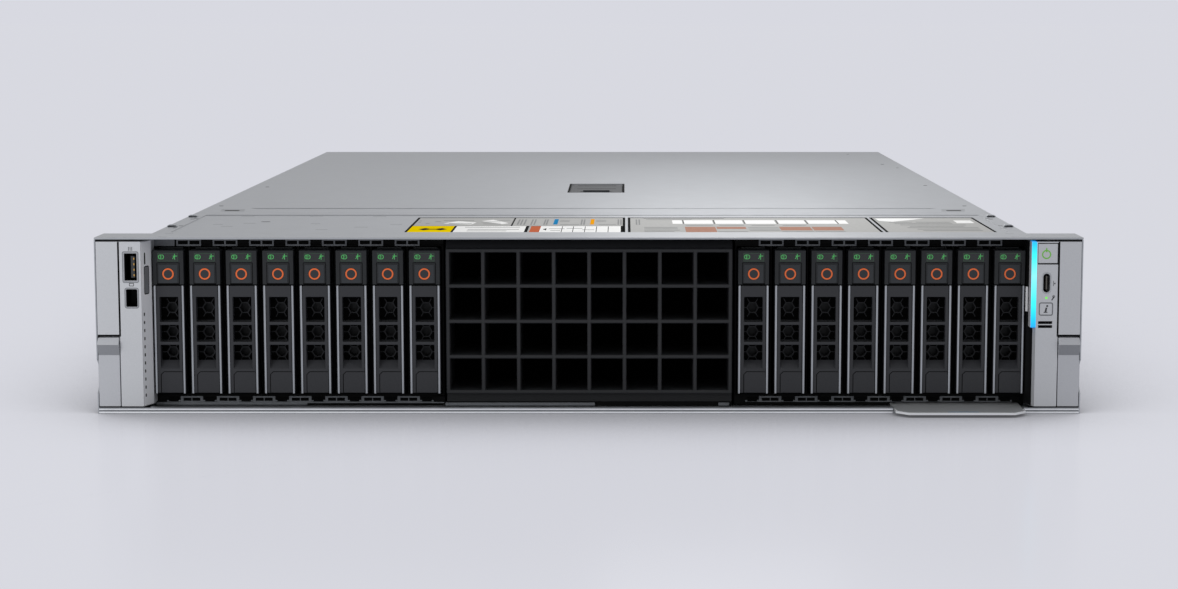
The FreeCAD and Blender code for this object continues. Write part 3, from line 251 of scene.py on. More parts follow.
# Black plates over slots, holes, seams and gaps stand for the shadow in them: painted shadow.
shadow_black = surface("black_gap_painted_shadow", "060606", "0a0a0a", grain=2, relief=0, roughness=0.7, specular=0.05)
dress("front_cover", cover_steel, 0.3)
piece("cover_dimples", pressed_sheet_shade, 0, [
    (field, rect(across, across + wide, depth, depth + 3), TINT) for across, depth, wide in (
        (-196, 76, 5), (-190, 64, 6), (-181, 82, 6), (-146, 80, 5), (-139, 46, 6), (-121, 60, 7),
        (-104, 76, 6), (-189, 124, 7), (-152, 124, 7), (-118, 124, 7))] + [
    (cover, rect(sign * 208.2 - 2, sign * 208.2 + 2, depth, depth + 1.6), TINT)
    for sign in (-1, 1) for depth in (3, 20)])
piece("cover_slots", shadow_black, 0, [
    (field, soft_rect(-173.4, -168.6, 92, 94.2, 1), TINT)] + [
    (cover, rect(sign * across - 1.1, sign * across + 1.1, depth, depth + 1.4), GAP)
    for sign in (-1, 1) for across, depth in ((211.2, 52), (210.4, 64), (210.6, 109), (211.6, 104))])

label_stock = ink("matte_label_film", "acacaa", "b2b2b0")
label_ink = ink("black_label_ink", "232424", "2c2d2d")
label_white = ink("white_label_ink", "e6e6e4", "efefed")
label_yellow = ink("yellow_label_ink", "e6c600", "eed000")
label_orange = ink("orange_label_ink", "b86244", "c06a4c")
label_salmon = ink("salmon_label_ink", "a37e6f", "ab8676")
label_grey = ink("grey_label_ink", "8a8b8b", "939494")
label_blue = ink("blue_label_ink", "2277a8", "2c84b6")
label_amber = ink("amber_label_ink", "dd9410", "e69d1c")
STOCK = (0, 0.08)
PRINT = (0.08, 0.11)
OVERPRINT = (0.11, 0.13)
SHEETS = [(-92.8, 17.8), (19.2, 147), (148.4, 203.8)]
SHEET_ENDS = (30, 118)
NOTICE = (30.3, 66.4)                            # front and back of the first sheet's row of fields
TILES = (80, 101)                                # front and back of the second sheet's row of tiles
piece("label_sheets", label_stock, 0, blocks(
    field, STOCK, *((*sheet, *SHEET_ENDS) for sheet in SHEETS)))
piece("label_borders", label_ink, 0, [
    (field, rect(left, right, *SHEET_ENDS), PRINT,
     rect(left + 1.3, right - 1.3, SHEET_ENDS[0] + 0.3, SHEET_ENDS[1] - 2.6))
    for left, right in SHEETS] + blocks(
    field, PRINT, (-92, 17, 66.4, 67.4), (-41.2, -40.4, 67.4, 115.4), (-69.8, -68.6, *NOTICE),
    (-33, -31.4, *NOTICE), (15.5, 17, *NOTICE)) + [
    (field, [(-24, 48), (-22.2, 42), (-22.2, 54)], OVERPRINT)] + [
    (field, rect(left, left + 0.35, 32, 64), OVERPRINT) for left in (-14.5, -8.8, -2.8, 3, 9)] + [
    (field, rect(left, left + 0.4, *TILES), OVERPRINT) for left in (48, 64.1, 79.9, 97, 112.5, 128.5)])
piece("label_yellow_field", label_yellow, 0, blocks(field, PRINT, (-91.5, -69.8, *NOTICE)))
piece("label_dark_shapes", label_ink, 0, [
    (field, [(-87, 48.5), (-84, 42.5), (-81.5, 46), (-81.5, 51), (-84, 54.5)], OVERPRINT),
    (field, rect(-82, -76, 46.5, 50.5), OVERPRINT),
    (field, [(-72.4, 48.5), (-75.4, 42.5), (-77.9, 46), (-77.9, 51), (-75.4, 54.5)], OVERPRINT)])
piece("label_orange_field", label_orange, 0, blocks(field, PRINT, (-30.4, -25.4, 31.5, 65.6)))
piece("label_salmon_fields", label_salmon, 0, blocks(
    field, PRINT, (48.3, 63.9, 31.5, 62), (64.5, 79.4, 50, 62), (96.6, 112.5, 42, 62),
    (113.2, 128.4, 42, 62)))
piece("label_blue_field", label_blue, 0, blocks(field, PRINT, (-19.6, -17.4, 76, 108)))
piece("label_amber_field", label_amber, 0, blocks(field, PRINT, (-0.4, 1.6, 76, 108)))
piece("label_white_fields", label_white, 0, blocks(
    field, PRINT, (-68.6, -33, *NOTICE), (-25.4, 15.5, *NOTICE)) + [
    (field, [(-77, 82), (-62, 76), (-60, 88), (-70, 96)], PRINT),
    (field, [(-58, 96), (-46, 78), (-43, 84), (-52, 104)], PRINT),
    (field, [(151.6, 98), (158, 92), (170, 104), (177.3, 113), (151, 113)], PRINT),
    (field, rect(191, 200, 84, 100), PRINT)] + [
    (field, rect(left, right, *TILES), PRINT) for left, right in (
        (42.5, 47.6), (48.6, 63.6), (64.9, 79.3), (80.6, 96.3), (97.9, 112), (113.4, 128.3),
        (129.2, 134))])
BARS = (                                         # left end, length and depth of each line of print
    (-90.4, 1.2, 88), (-90.4, 1.2, 96), (-86, 2, 80), (-82, 3, 92), (-78, 16, 99), (-74, 12, 80),
    (-57.6, 10, 90), (-50, 7, 100), (-56, 9, 78), (-16.6, 5.2, 100), (-16.6, 5.2, 92), (-16, 10, 74),
    (2.6, 5.2, 100), (2.6, 5.2, 92), (4, 9, 74), (-64, 9, 58), (-56, 20, 58), (-62, 26, 46),
    (-62, 20, 38), (-21, 8, 50), (-20, 5, 40), (-12, 8, 52), (-4, 6, 44), (27.5, 43, 111), (29, 24, 104),
    (27.5, 17, 58), (27.5, 17, 50), (27.5, 18, 42), (27.5, 15, 34), (49, 14, 69), (66, 13, 69),
    (83, 12, 69), (99, 12, 69), (64.5, 15, 34), (80.5, 15.6, 56), (80.5, 15.6, 48), (80.5, 15.6, 40),
    (96.6, 16, 34), (113.2, 15.2, 34), (156, 12, 88), (170, 18, 88), (158, 30, 80), (160, 34, 72),
    (164, 28, 64), (162, 36, 56), (166, 32, 48), (168, 30, 40))
COLUMNS = (-38.4, -36.8, -35, -31.4, -29.8, -24.7, -23.4, -5.4, -4, 13.8, 15.2, 23.3, 24.8)
piece("label_grey_bars", label_grey, 0, [
    (field, rect(left, left + length, depth, depth + 2.2), OVERPRINT) for left, length, depth in BARS] + [
    (field, rect(left, left + 0.8, 74, 106), OVERPRINT) for left in COLUMNS])

# ---------------------------------------------------------------------------
# Top cover: the lift-off sheet behind the seam, stiffened by a pressed bead
# and closed by a moulded latch in a black tray. The latch is glass-filled
# nylon, satin and slightly grainy.
dress("top_cover", cover_steel, 0.3)
black_nylon = surface("glass_filled_nylon", "26292c", "2f3235", grain=0.6, relief=0.02, roughness=0.5)
dress("cover_latch", black_nylon, 0.5)
ON_TRAY = (-7.98, -7.9)
ON_LATCH = (-0.42, -0.36)
# The beads are drawn in the darker copy of the sheet: painted shade.
piece("cover_presses", pressed_sheet_shade, 0, [
    (cover, [(sign * 192, 154), (sign * 205, 154), (sign * 207, 170), (sign * 194, 170)], TINT)
    for sign in (-1, 1)], "top_cover")
piece("cover_clips", shadow_black, 0, [
    (cover, rect(sign * 199.5 - 4, sign * 199.5 + 4, 157, 161.5), GAP) for sign in (-1, 1)] + [
    (cover, circle(across, depth, radius, 16), GAP) for across, depth, radius in (
        (-207, 341, 1.3), (203.5, 566, 1.3), (210, 527, 1.1), (208, 354, 1.3), (210, 192, 1.3),
        (-211, 192, 1.3), (190, 690, 1.1))], "top_cover")
piece("latch_tray", black_nylon, 0, [
    (cover, [(-16.2, 294.7), (16.2, 294.7), (16.2, 362.5), (11.5, 367.5), (-11.5, 367.5), (-16.2, 362.5)],
     ON_TRAY)], "top_cover")
piece("latch_rim", shadow_black, 0, [
    (cover, rect(-17.4, 17.4, 293.5, 368.8), TINT, rect(-16.2, 16.2, 294.7, 367.5))], "top_cover")
piece("latch_marks", shadow_black, 0, [
    (cover, circle(across, 307, 0.9, 12), ON_LATCH) for across in (-9, 0, 9)] + blocks(
    cover, ON_LATCH, (-12, 12, 330, 331.2), (-12, 12, 356, 357.2)), "cover_latch")

# ---------------------------------------------------------------------------
# Ear mouldings: silver-painted ABS over the rack ears, with a sprung latch in
# each. The paint is a fine satin. The lower slope of the ridge across each
# latch is painted darker as shade, and dark lines of painted shade lie along
# the foot and in the groove of each moulding.
silver_abs = surface("silver_painted_abs", "bcbec1", "c2c4c7", grain=0.5, relief=0.008, roughness=0.42,
                     metallic=0.2)
wall_light_abs = surface("wall_abs_painted_light", "e2e3e6", "e8e9ec", grain=0.5, relief=0.008, roughness=0.5, metallic=0.1)
latch_abs = surface("silver_latch_abs", "b2b4b8", "b8babe", grain=0.5, relief=0.008, roughness=0.4,
                    metallic=0.2)
ridge_shade_abs = surface("ridge_abs_painted_shade", "84868a", "8a8c90", grain=0.5, relief=0.008, roughness=0.5,
                    specular=0.2)


def front(across, up, back):
    """Sketch plane seen from the front: pushed from one depth behind the ear face to another."""
    return at(across, back, up)


for button in ("power_button", "id_button"):
    dress(button, silver_abs, 0.25)
for ear, sign in (("left", -1), ("right", 1)):
    dress(f"{ear}_control_panel", silver_abs, 0.35)
    dress(f"{ear}_rack_latch", latch_abs, 0.35)
    latch = extent(f"{ear}_rack_latch")
    # A darker plate on the ridge's lower slope: painted shade.
    piece(f"{ear}_latch_ridge_shade", ridge_shade_abs, 0, [
        (side, [(-2.61, 34.35), (-0.02, 29), (0.1, 29), (-2.45, 34.35)],
         (latch.left + 0.1, latch.right - 0.1))], f"{ear}_rack_latch")
    # Dark strips along the foot and in the groove of each moulding: painted shade.
    piece(f"{ear}_ear_foot_shade", shadow_black, 0, blocks(
        front, (-0.05, 0.3), (*sorted((sign * 215.3, sign * 240.3)), 2.94, 3.6)))
    piece(f"{ear}_groove_shade", shadow_black, 0, blocks(
        front, (0.02, 0.3), (*sorted((sign * 229, sign * 229.6)), 39.2, 84.4)))

# ---------------------------------------------------------------------------
# Left ear: two service ports with nickel-plated shells in grey surrounds, and
# black liners of liquid crystal polymer. A paler plate over the slanted inner
# wall is painted light, and its slits and recess are flat plates of painted
# shade: black slits, and a grey recess in a black rim.
nickel = surface("nickel_plated_shell", "a2a4a7", "b4b6b9", grain=0.8, relief=0.003, roughness=0.3,
                 metallic=0.8)
socket_black = surface("black_lcp_tongue", "0a0a0b", "101011", grain=0.4, relief=0.004, roughness=0.5,
                       specular=0.15)
tongue_grey = surface("charcoal_lcp_tongue", "2c2d2f", "323335", grain=0.4, relief=0.004, roughness=0.5)
gold = surface("gold_plated_contact", "c79a4e", "dcb165", grain=0.5, relief=0.001, roughness=0.25,
               metallic=0.8)
dark_mark = surface("grey_pad_print", "2c2d2f", "343537", grain=0.5, relief=0.001, roughness=0.5)
port_liner = surface("port_liner_plastic", "6a6c6f", "727477", grain=0.5, relief=0.006, roughness=0.5)
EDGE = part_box("right_control_panel")[0].x / MM + 3.2    # where the face turns into the slanted inner wall
BEVEL = (3.2, 10)                                       # across and deep
PAD_PRINT = (-0.03, 0.1)
USB_X, USB_Z = -223.4, 72.3
DISPLAY_X, DISPLAY_Z = -223.1, 57.1
PORT_FLOOR = (11.5, 11.9)
TONGUE_LEFT, TONGUE_RIGHT, TONGUE_FRONT, TONGUE_HALF = -223.2, -221.6, 1, 5.2


def slanted(depth, up, out):
    """Sketch plane on the left ear's slanted inner wall, from depth to depth; out points to the drives."""
    wide, deep = BEVEL
    run = math.hypot(wide, deep)
    return at(-EDGE + (wide * depth + deep * out) / run, (deep * depth - wide * out) / run, up)


def about(u, v, half_u, half_v, radius=0):
    """A rectangle about a middle point, with round corners if it has a radius."""
    sides = (u - half_u, u + half_u, v - half_v, v + half_v)
    return soft_rect(*sides, radius) if radius else rect(*sides)


def rings(span, *sizes):
    """A ring round the USB port and one round the display port: outer halves and radius, then inner ones."""
    return [(front, about(*middle, *outer), span, about(*middle, *inner))
            for middle, (outer, inner) in zip(((USB_X, USB_Z), (DISPLAY_X, DISPLAY_Z)), sizes)]


piece("left_port_outlines", port_liner, 0, rings(
    (-0.06, 0.4), ((4, 7.7, 0.9), (3, 6.7, 0.3)), ((3.5, 5.1, 1.2), (2.8, 4.4, 0.8))))
piece("left_port_rims", nickel, 0.1, rings(
    (-0.12, 1), ((3.7, 7.4, 0.7), (3, 6.7, 0.3)), ((3.2, 4.8, 1), (2.75, 4.35, 0.7))))
piece("left_port_liners", socket_black, 0, rings(
    (0.5, 11.9), ((2.95, 6.65), (2.8, 6.5)), ((2.75, 4.35), (2.6, 4.2))) + [
    (front, about(USB_X, USB_Z, 2.9, 6.6), PORT_FLOOR),
    (front, about(DISPLAY_X, DISPLAY_Z, 2.7, 4.3), PORT_FLOOR)])
piece("usb_tongue", tongue_grey, 0.1, blocks(
    front, (TONGUE_FRONT - 0.12, 11.6),
    (TONGUE_LEFT - 0.12, TONGUE_RIGHT + 0.12, USB_Z - TONGUE_HALF - 0.12, USB_Z + TONGUE_HALF + 0.12)))
piece("usb_contacts", gold, 0, [
    (front, rect(TONGUE_RIGHT - 0.5, TONGUE_RIGHT, USB_Z + k * 2.7 - 0.5, USB_Z + k * 2.7 + 0.5),
     (TONGUE_FRONT - 0.18, TONGUE_FRONT)) for k in (-1.5, -0.5, 0.5, 1.5)])
piece("left_port_marks", dark_mark, 0, blocks(
    front, PAD_PRINT, (USB_X - 0.9, USB_X - 0.6, 80.3, 82.2), (USB_X - 0.1, USB_X + 0.2, 80.3, 82.2),
    (USB_X + 0.7, USB_X + 1, 80.3, 82.2)) + [
    (front, soft_rect(DISPLAY_X - 1.2, DISPLAY_X + 1.2, 62.9, 64.5, 0.3), PAD_PRINT,
     soft_rect(DISPLAY_X - 0.9, DISPLAY_X + 0.9, 63.2, 64.2, 0.2))])
ON_WALL = (-0.02, 0.05)
WALL_RECESS = soft_rect(3.5, 7.5, 58.9, 71.9, 0.7)
# Black slits and a black rim round the recess, drawn flat: painted shade.
piece("left_wall_slit_shade", socket_black, 0, [
    (slanted, soft_rect(3.4, 4.6, 73.2, 79, 0.5), ON_WALL),
    (slanted, soft_rect(3, 8, 58.4, 72.4, 1), ON_WALL, WALL_RECESS)] + [
    (slanted, soft_rect(1.9, 3, up, up + 1.6, 0.4), ON_WALL) for up in range(8, 50, 4)])
# A paler plate over the slanted wall: painted light.
piece("left_wall_light_plate", wall_light_abs, 0, blocks(slanted, (0, 0.02), (0.4, 10.1, 3.7, 84.3)))
# The grey recess, drawn flat: painted shade.
piece("left_wall_recess_shade", port_liner, 0, [(slanted, WALL_RECESS, (-0.02, 0.04))])

# ---------------------------------------------------------------------------
# Right ear: a light guide of clear acrylic down its inner edge, the power and
# information buttons with pad-printed marks, a small port and a status lamp.
# The inner wall is covered by a black plate of painted shade, and has a white moulded tab.


def lit(name, colour, strength, base="202020"):
    """A light guide or a glowing print: plastic that gives off one colour."""
    material = surface(name, base, base, grain=1, relief=0, roughness=0.25)
    shader = material.node_tree.nodes["Principled BSDF"]
    shader.inputs["Emission Color"].default_value = linear(colour)
    shader.inputs["Emission Strength"].default_value = strength
    return material


BAR_ENDS = (42.6, 84.7)                          # low and high end of the light guide
POWER = (223.1, 78.5)                            # middle of the power button, across and up
cyan_lamp = lit("cyan_light_guide", "14c8ff", 1, "0a90c0")
tree = cyan_lamp.node_tree
place = add(tree, "TexCoord")
heights = add(tree, "SeparateXYZ", links={"Vector": place.outputs["Object"]})
along = add(tree, "MapRange", {"From Min": BAR_ENDS[0] * MM, "From Max": BAR_ENDS[1] * MM},
            {"Value": heights.outputs["Z"]})
glow = add(tree, "ValToRGB", links={"Fac": along.outputs["Result"]})    # bluer towards both ends
for position, colour in ((0.12, "08c4ff"), (0.3, "3cf4ff"), (0.6, "92ffff"), (0.82, "3cf4ff")):
    glow.color_ramp.elements.new(position).color = linear(colour)
glow.color_ramp.elements[0].color = linear("0a90e6")
glow.color_ramp.elements[-1].color = linear("0ca8f4")
tree.links.new(glow.outputs["Color"], tree.nodes["Principled BSDF"].inputs["Emission Color"])
green_lamp = lit("green_light_guide", "7df05a", 1)
green_mark = surface("green_pad_print", "6cb63e", "78c24a", grain=0.5, relief=0.001, roughness=0.5)
white_tab = surface("white_tab_plastic", "f4f5f6", "fafbfc", grain=0.5, relief=0.002, roughness=0.4)
socket_grey = surface("grey_lcp_tongue", "54504a", "5c5852", grain=0.4, relief=0.004, roughness=0.5)
piece("light_bar", cyan_lamp, 0.2, blocks(front, (-0.05, 5.9), (215.85, 218.55, *BAR_ENDS)))
piece("power_mark", green_mark, 0, [
    (front, circle(*POWER, 2.25, 32), (-0.04, 0.1), circle(*POWER, 1.65, 32)),
    (front, rect(222.8, 223.4, 79.6, 81.6), (-0.06, 0.1))], "power_button")
power = extent("power_button")
# A black frame round the power button, wider to the right and below: painted shadow.
piece("power_button_shadow", socket_black, 0, [
    (front, rect(power.left - 0.1, power.right + 0.6, power.low - 0.6, power.high + 0.35), (-0.05, 0.1),
     rect(power.left - 0.05, power.right + 0.05, power.low - 0.05, power.high + 0.05))])
piece("usbc_rim", nickel, 0.1, [
    (front, soft_rect(221.15, 225.65, 59.1, 69.9, 2.1), (-0.1, 1),
     soft_rect(221.75, 225.05, 59.9, 69.1, 1.6))])
piece("usbc_floor", socket_black, 0, blocks(front, PORT_FLOOR, (221.7, 225.1, 59.8, 69.2)))
piece("usbc_tongue", socket_grey, 0, blocks(front, (0.7, 8), (223.15, 223.75, 61.2, 67.8)))
piece("status_lamp", green_lamp, 0, [(front, circle(223.4, 57.2, 0.6, 16), (-0.05, 0.2))])
piece("right_ear_marks", dark_mark, 0, blocks(
    front, PAD_PRINT, (226.6, 226.85, 63, 65.6), (227.1, 227.7, 63.9, 64.6)) + [
    (front, [(225.8, 56.2), (226.2, 55.8), (227.2, 57.3), (226.8, 57.7)], PAD_PRINT),
    (front, circle(227, 57.9, 0.65, 12), PAD_PRINT, circle(227.1, 58.1, 0.3, 12))])
piece("id_surround", port_liner, 0, [
    (front, soft_rect(219.8, 226.8, 48.4, 55, 1.1), PAD_PRINT, soft_rect(220.3, 226.3, 48.9, 54.5, 0.8))])
piece("id_mark", dark_mark, 0, [
    (front, [(222.6, 50.1), (223.5, 50.1), (224, 52.4), (223.1, 52.4)], PAD_PRINT),
    (front, rect(222.2, 224.1, 49.9, 50.3), PAD_PRINT),
    (front, circle(223.9, 53.2, 0.5, 12), PAD_PRINT)], "id_button")
piece("ear_vent_mouths", shadow_black, 0, blocks(
    front, (-0.03, 0.4), (219.6, 226.1, 44.35, 45.65), (219.6, 226.1, 42.4, 43.8)))
INNER, OUTER = EDGE - 3.3, EDGE - 3.22           # the two faces of the liner's straight run
# A black plate over the right ear's inner wall: painted shade.
piece("right_wall_shade", socket_black, 0, [
    (above_from(), [(EDGE - inset, depth), (INNER, 9.9), (INNER, 17.8), (OUTER, 17.8), (OUTER, 9.95),
                    (EDGE - inset + 0.08, depth + 0.05)], span)
    for inset, depth, span in ((1.1, 3, (3.6, 42.4)), (2.1, 6, (42.4, 84.6)))])
piece("cable_tab", white_tab, 0, blocks(front, (7.9, 8.9), (EDGE - 3.68, EDGE - 2.65, 49.6, 61.8)))

# ---------------------------------------------------------------------------
# Drive cages: black-coated steel boxes; only their slotted strips above and
# below the drives show. The strips' frames are a bare grey coat.
black_steel = surface("black_coated_steel", "070707", "0c0c0c", grain=1.5, relief=0.01, roughness=0.6,
                      specular=0.1)
strip_steel = surface("grey_coated_steel", "5e6165", "686b6f", grain=1.5, relief=0.01, roughness=0.5)
dress("drive_cages", black_steel, 0.2)
PITCH = 18
CAGE_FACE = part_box("drive_cages")[0].y / MM - FACE
GAPS = [(number - 11) * PITCH for number in (*range(0, 7), *range(16, 23))]
BAYS = [(number - 11.5) * PITCH for number in (*range(0, 8), *range(16, 24))]
STRIP = (CAGE_FACE - 0.5, CAGE_FACE - 0.02)
STRIP_SLOT = (CAGE_FACE - 0.55, CAGE_FACE - 0.05)
piece("cage_strip_frames", strip_steel, 0.15, [
    (front, rect(middle - half, middle + half, low, high), STRIP)
    for middles, half, low, high in ((GAPS, 6.15, 80.9, 84.3), (GAPS, 5.6, 2.9, 5.9), (BAYS, 3.4, 3, 3.9))
    for middle in middles] + blocks(
    front, STRIP, (-215.8, -205, 80.9, 84.3), (-215.8, -140.6, 1.5, 2.9), (-140.6, -72.3, 2.3, 2.9)))
piece("cage_strip_slots", shadow_black, 0, [
    (front, rect(gap + start, gap + start + wide, low, high), STRIP_SLOT) for starts, wide, low, high in (
        ((-5.3, 0.4), 4.9, 81.8, 83.6), ((-4.2, 0.2), 4, 3.5, 5.1)) for gap in GAPS for start in starts] + [
    (front, rect(middle - 2.4, middle + 2.4, 3.2, 5.4), STRIP_SLOT) for middle in BAYS])

# ---------------------------------------------------------------------------
# Drive carriers: black polycarbonate fronts on steel rails. Each has a smoked
# light window with green marks, a release button with an orange ring, a
# honeycomb screen behind its lever, and bright folded steel cheeks.
carrier_plastic = surface("black_polycarbonate", "232527", "292b2d", grain=0.5, relief=0.01, roughness=0.45,
                          specular=0.25)
lever_plastic = surface("dark_grey_polycarbonate", "2d2e31", "333437", grain=0.5, relief=0.01, roughness=0.45,
                        specular=0.3)
cap_plastic = surface("button_polycarbonate", "2c2f32", "333639", grain=0.5, relief=0.008, roughness=0.42,
                      specular=0.3)
screen_black = surface("black_screen_sheet", "040404", "070707", grain=0.5, relief=0, roughness=0.7,
                       specular=0.05)
# The honeycomb's rims and struts, in a paler copy of the black screen: painted highlight.
screen_rim_highlight = surface("screen_rim_painted_highlight", "2e2f32", "353639", grain=0.5, relief=0, roughness=0.5,
                      specular=0.2)
# The orange ring is a print, not a lamp; its faint glow is painted light.
orange_ring = lit("orange_print_with_painted_glow", "cf622a", 0.2, "cc5e28")
green_print = lit("green_led_print", "4fb860", 0.35, "3f9a50")
green_line = lit("dim_green_led_print", "2f6a3c", 0.1, "24502e")
smoked_window = surface("smoked_window", "1b1e1f", "212425", grain=1, relief=0.001, roughness=0.25)

carriers = sorted(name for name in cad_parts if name.startswith("drive_carrier"))
first = extent(carriers[0])
FIRST_MIDDLE = (first.left + first.right) / 2
CARRIER = first.front + 0.2             # front of the carrier block behind the ear face
SCREEN = 9.2                            # front of the screen behind the front of the carrier
MARK = (-0.17, 0)
CAP = (-4.7, 4.7, 63.4, 72.4)           # sides of the release button
CAP_MIDDLE = 67.9
RING_RADIUS = 2.08                      # inside of the ring round the button's middle
WINDOWS = [((low + high) / 2, low, high)             # middle and ends of each window in the screen
           for low, high in ((23.6, 32.4), (34.1, 42.2), (44, 56.3))]


def front_from(depth, height=0, middle=0):
    """A sketch plane seen from the front that measures from a depth, a height and a middle."""
    return lambda across, up, back: front(middle + across, height + up, depth + back)


def spoke(u, v, direction, start, end, half):
    """A thin bar that runs outwards from a point; its direction is a cosine and a sine."""
    c, s = direction
    return [(u + c * along - s * offset, v + s * along + c * offset)
            for along, offset in ((start, -half), (end, -half), (end, half), (start, half))]


bay = front_from(CARRIER, middle=FIRST_MIDDLE)    # the first carrier, whose meshes serve all sixteen
cheeks = solid("carrier_cheeks", [
    (bay, [(sign * 6.35, 8.3), (sign * 7.4, 8.3), (sign * 7.4, 61.8), (sign * 7.1, 62.2),
           (sign * 6.35, 62.2)], (-0.1, 7)) for sign in (-1, 1)])
window = solid("carrier_window", blocks(bay, (-0.12, 0.4), (-5.2, 5.2, 74, 78.4)))
window_line = solid("window_line", [
    (bay, rect(-5, 5, 74.2, 78.2), (-0.15, 0), rect(-4.86, 4.86, 74.34, 78.06))])
marks = solid("carrier_marks", [
    (bay, soft_rect(-4.7, -1.9, 75.2, 77.4, 0.9), MARK, soft_rect(-4.42, -2.18, 75.48, 77.12, 0.6))] + blocks(
    bay, MARK, (-3.75, -3.5, 75.4, 77.2), (-3.6, -2.6, 76.2, 76.4), (3.2, 3.5, 75, 77.8),
    (2.5, 4.6, 76.6, 76.9)) + [
    (bay, [(2.2, 75.4), (2.4, 75.2), (3.3, 76.6), (3.1, 76.8)], MARK)])
cap_gap = solid("release_cap_gap", [
    (bay, rect(-5.55, 5.55, 62.5, 73.2), (-0.06, 0), rect(-4.75, 4.75, 63.35, 72.45))])
left, right, low, high = CAP
cap = solid("release_cap", [
    (bay, rect(*CAP), (-0.42, 0), rect(-4.6, 4.6, 63.5, 72.3)),
    (bay, [(right, CAP_MIDDLE), (right, high), (0, high), (left, high), (left, CAP_MIDDLE), (left, low),
           (0, low), (right, low)], (-0.4, -0.2), circle(0, CAP_MIDDLE, 3.2, 8))])
ring = solid("release_ring", [
    (bay, circle(0, CAP_MIDDLE, 2.83, 40), (-0.5, 0), circle(0, CAP_MIDDLE, RING_RADIUS, 40))])
disc = solid("release_disc", [(bay, circle(0, CAP_MIDDLE, RING_RADIUS, 32), (-0.33, 0))])
screen_face = solid("carrier_screen_face", [
    (bay, [(6.1, middle), (6.1, high), (-6.1, high), (-6.1, middle), (-6.1, low), (6.1, low)],
     (SCREEN - 0.12, SCREEN - 0.02), circle(0, middle, 2.65, 6)) for middle, low, high in WINDOWS])
STRUTS = [(math.cos(math.radians(60 * k)), math.sin(math.radians(60 * k))) for k in range(6)]
screen_rings = solid("carrier_screen_rings", [
    (bay, circle(0, middle, 3.15, 6), (SCREEN - 0.5, SCREEN - 0.1), circle(0, middle, 2.5, 6))
    for middle, low, high in WINDOWS] + [
    (bay, spoke(0, middle, strut, 2.9, 5.2, 0.22), (SCREEN - 0.4, SCREEN - 0.1))
    for middle, low, high in WINDOWS for strut in STRUTS])
foot_plate = solid("lever_foot_plate", [
    (bay, [(-4.4, 8.9), (6.1, 8.9), (6.1, 19.1), (-3.1, 19.1), (-4.4, 17.8)], (0.02, 0.25))])
foot_seam = solid("lever_foot_seam", [
    (bay, [(-4.75, 8.8), (-4.4, 8.8), (-4.4, 17.8), (-3.1, 19.1), (6.1, 19.1), (6.1, 19.4), (-3.25, 19.4),
           (-4.75, 17.9)], (0.1, 0.25))])
ON_CARRIER = (
    ("carrier_cheeks", cheeks, stainless, 0.3), ("carrier_window", window, smoked_window, 0),
    ("carrier_window_line", window_line, green_line, 0), ("carrier_marks", marks, green_print, 0),
    ("release_gap", cap_gap, shadow_black, 0), ("release_cap", cap, cap_plastic, 0),
    ("release_ring", ring, orange_ring, 0.12), ("release_disc", disc, cap_plastic, 0),
    ("screen_face", screen_face, screen_black, 0), ("screen_rings", screen_rings, screen_rim_highlight, 0))
ON_LEVER = (
    ("lever_foot_plate", foot_plate, lever_plastic, 0.1), ("lever_foot_seam", foot_seam, shadow_black, 0))
for number, carrier in enumerate(carriers, start=1):
    lever = f"drive_lever_{number:02d}"
    dress(carrier, carrier_plastic, 0.3)
    dress(lever, lever_plastic, 0.35)
    ends = extent(carrier)
    shift = ((ends.left + ends.right) / 2 - FIRST_MIDDLE, 0, 0)
    for body, copies in ((carrier, ON_CARRIER), (lever, ON_LEVER)):
        for label, mesh, material, edge in copies:
            fit(f"{label}_{number:02d}", mesh, body, material, edge, shift)

# ---------------------------------------------------------------------------
# Air grille: one moulded egg-crate of black ABS between the cages, with a
# dust filter mat of black open foam behind it. Coated steel bands run above
# and below it, and two feet stand under it.
grille_abs = surface("black_moulded_abs", "242527", "2a2b2d", grain=0.6, relief=0.015, roughness=0.5,
                     specular=0.3)
filter_foam = surface("black_filter_foam", "030303", "060606", grain=1.5, relief=0.3, roughness=0.9,
                      specular=0.05)
dress("air_grille", grille_abs, 0.7)
grille = extent("air_grille")
GRILLE_SIDES = (grille.left, grille.right)
piece("filter_mat", filter_foam, 0, blocks(
    front, (grille.back + 0.3, grille.back + 4),
    (grille.left + 0.3, grille.right - 0.3, grille.low, grille.high)))
piece("grille_bands", black_steel, 0.2, [
    (side, [(CAGE_FACE - 4, grille.high), (CAGE_FACE, grille.high), (CAGE_FACE, 84.3),
            (CAGE_FACE - 0.6, 84.3)], GRILLE_SIDES),
    (side, rect(CAGE_FACE - 3, CAGE_FACE, 3.3, grille.low - 0.1), GRILLE_SIDES)])
piece("grille_feet", strip_steel, 0.2, blocks(
    front, (CAGE_FACE - 4, CAGE_FACE), (-71.5, 2.8, 1.6, 3.1), (64.1, 69.4, 1.6, 3.1)))

# ---------------------------------------------------------------------------
# Information tag: a pull-out plate of grey moulded plastic under the right
# cage. Its rim and nose, and its faces that look forwards, are painted pale
# as a highlight, and a pale blue line is printed near its front edge.
tag_plastic_and_highlight = surface("grey_tag_plastic_and_painted_highlight", "989a9b", "a0a2a3", grain=0.5, relief=0.006, roughness=0.35)
tag_rim_highlight = surface("tag_rim_painted_highlight", "e2e4e6", "eaecee", grain=0.5, relief=0.002, roughness=0.25)
tree = tag_plastic_and_highlight.node_tree
shader = tree.nodes["Principled BSDF"]
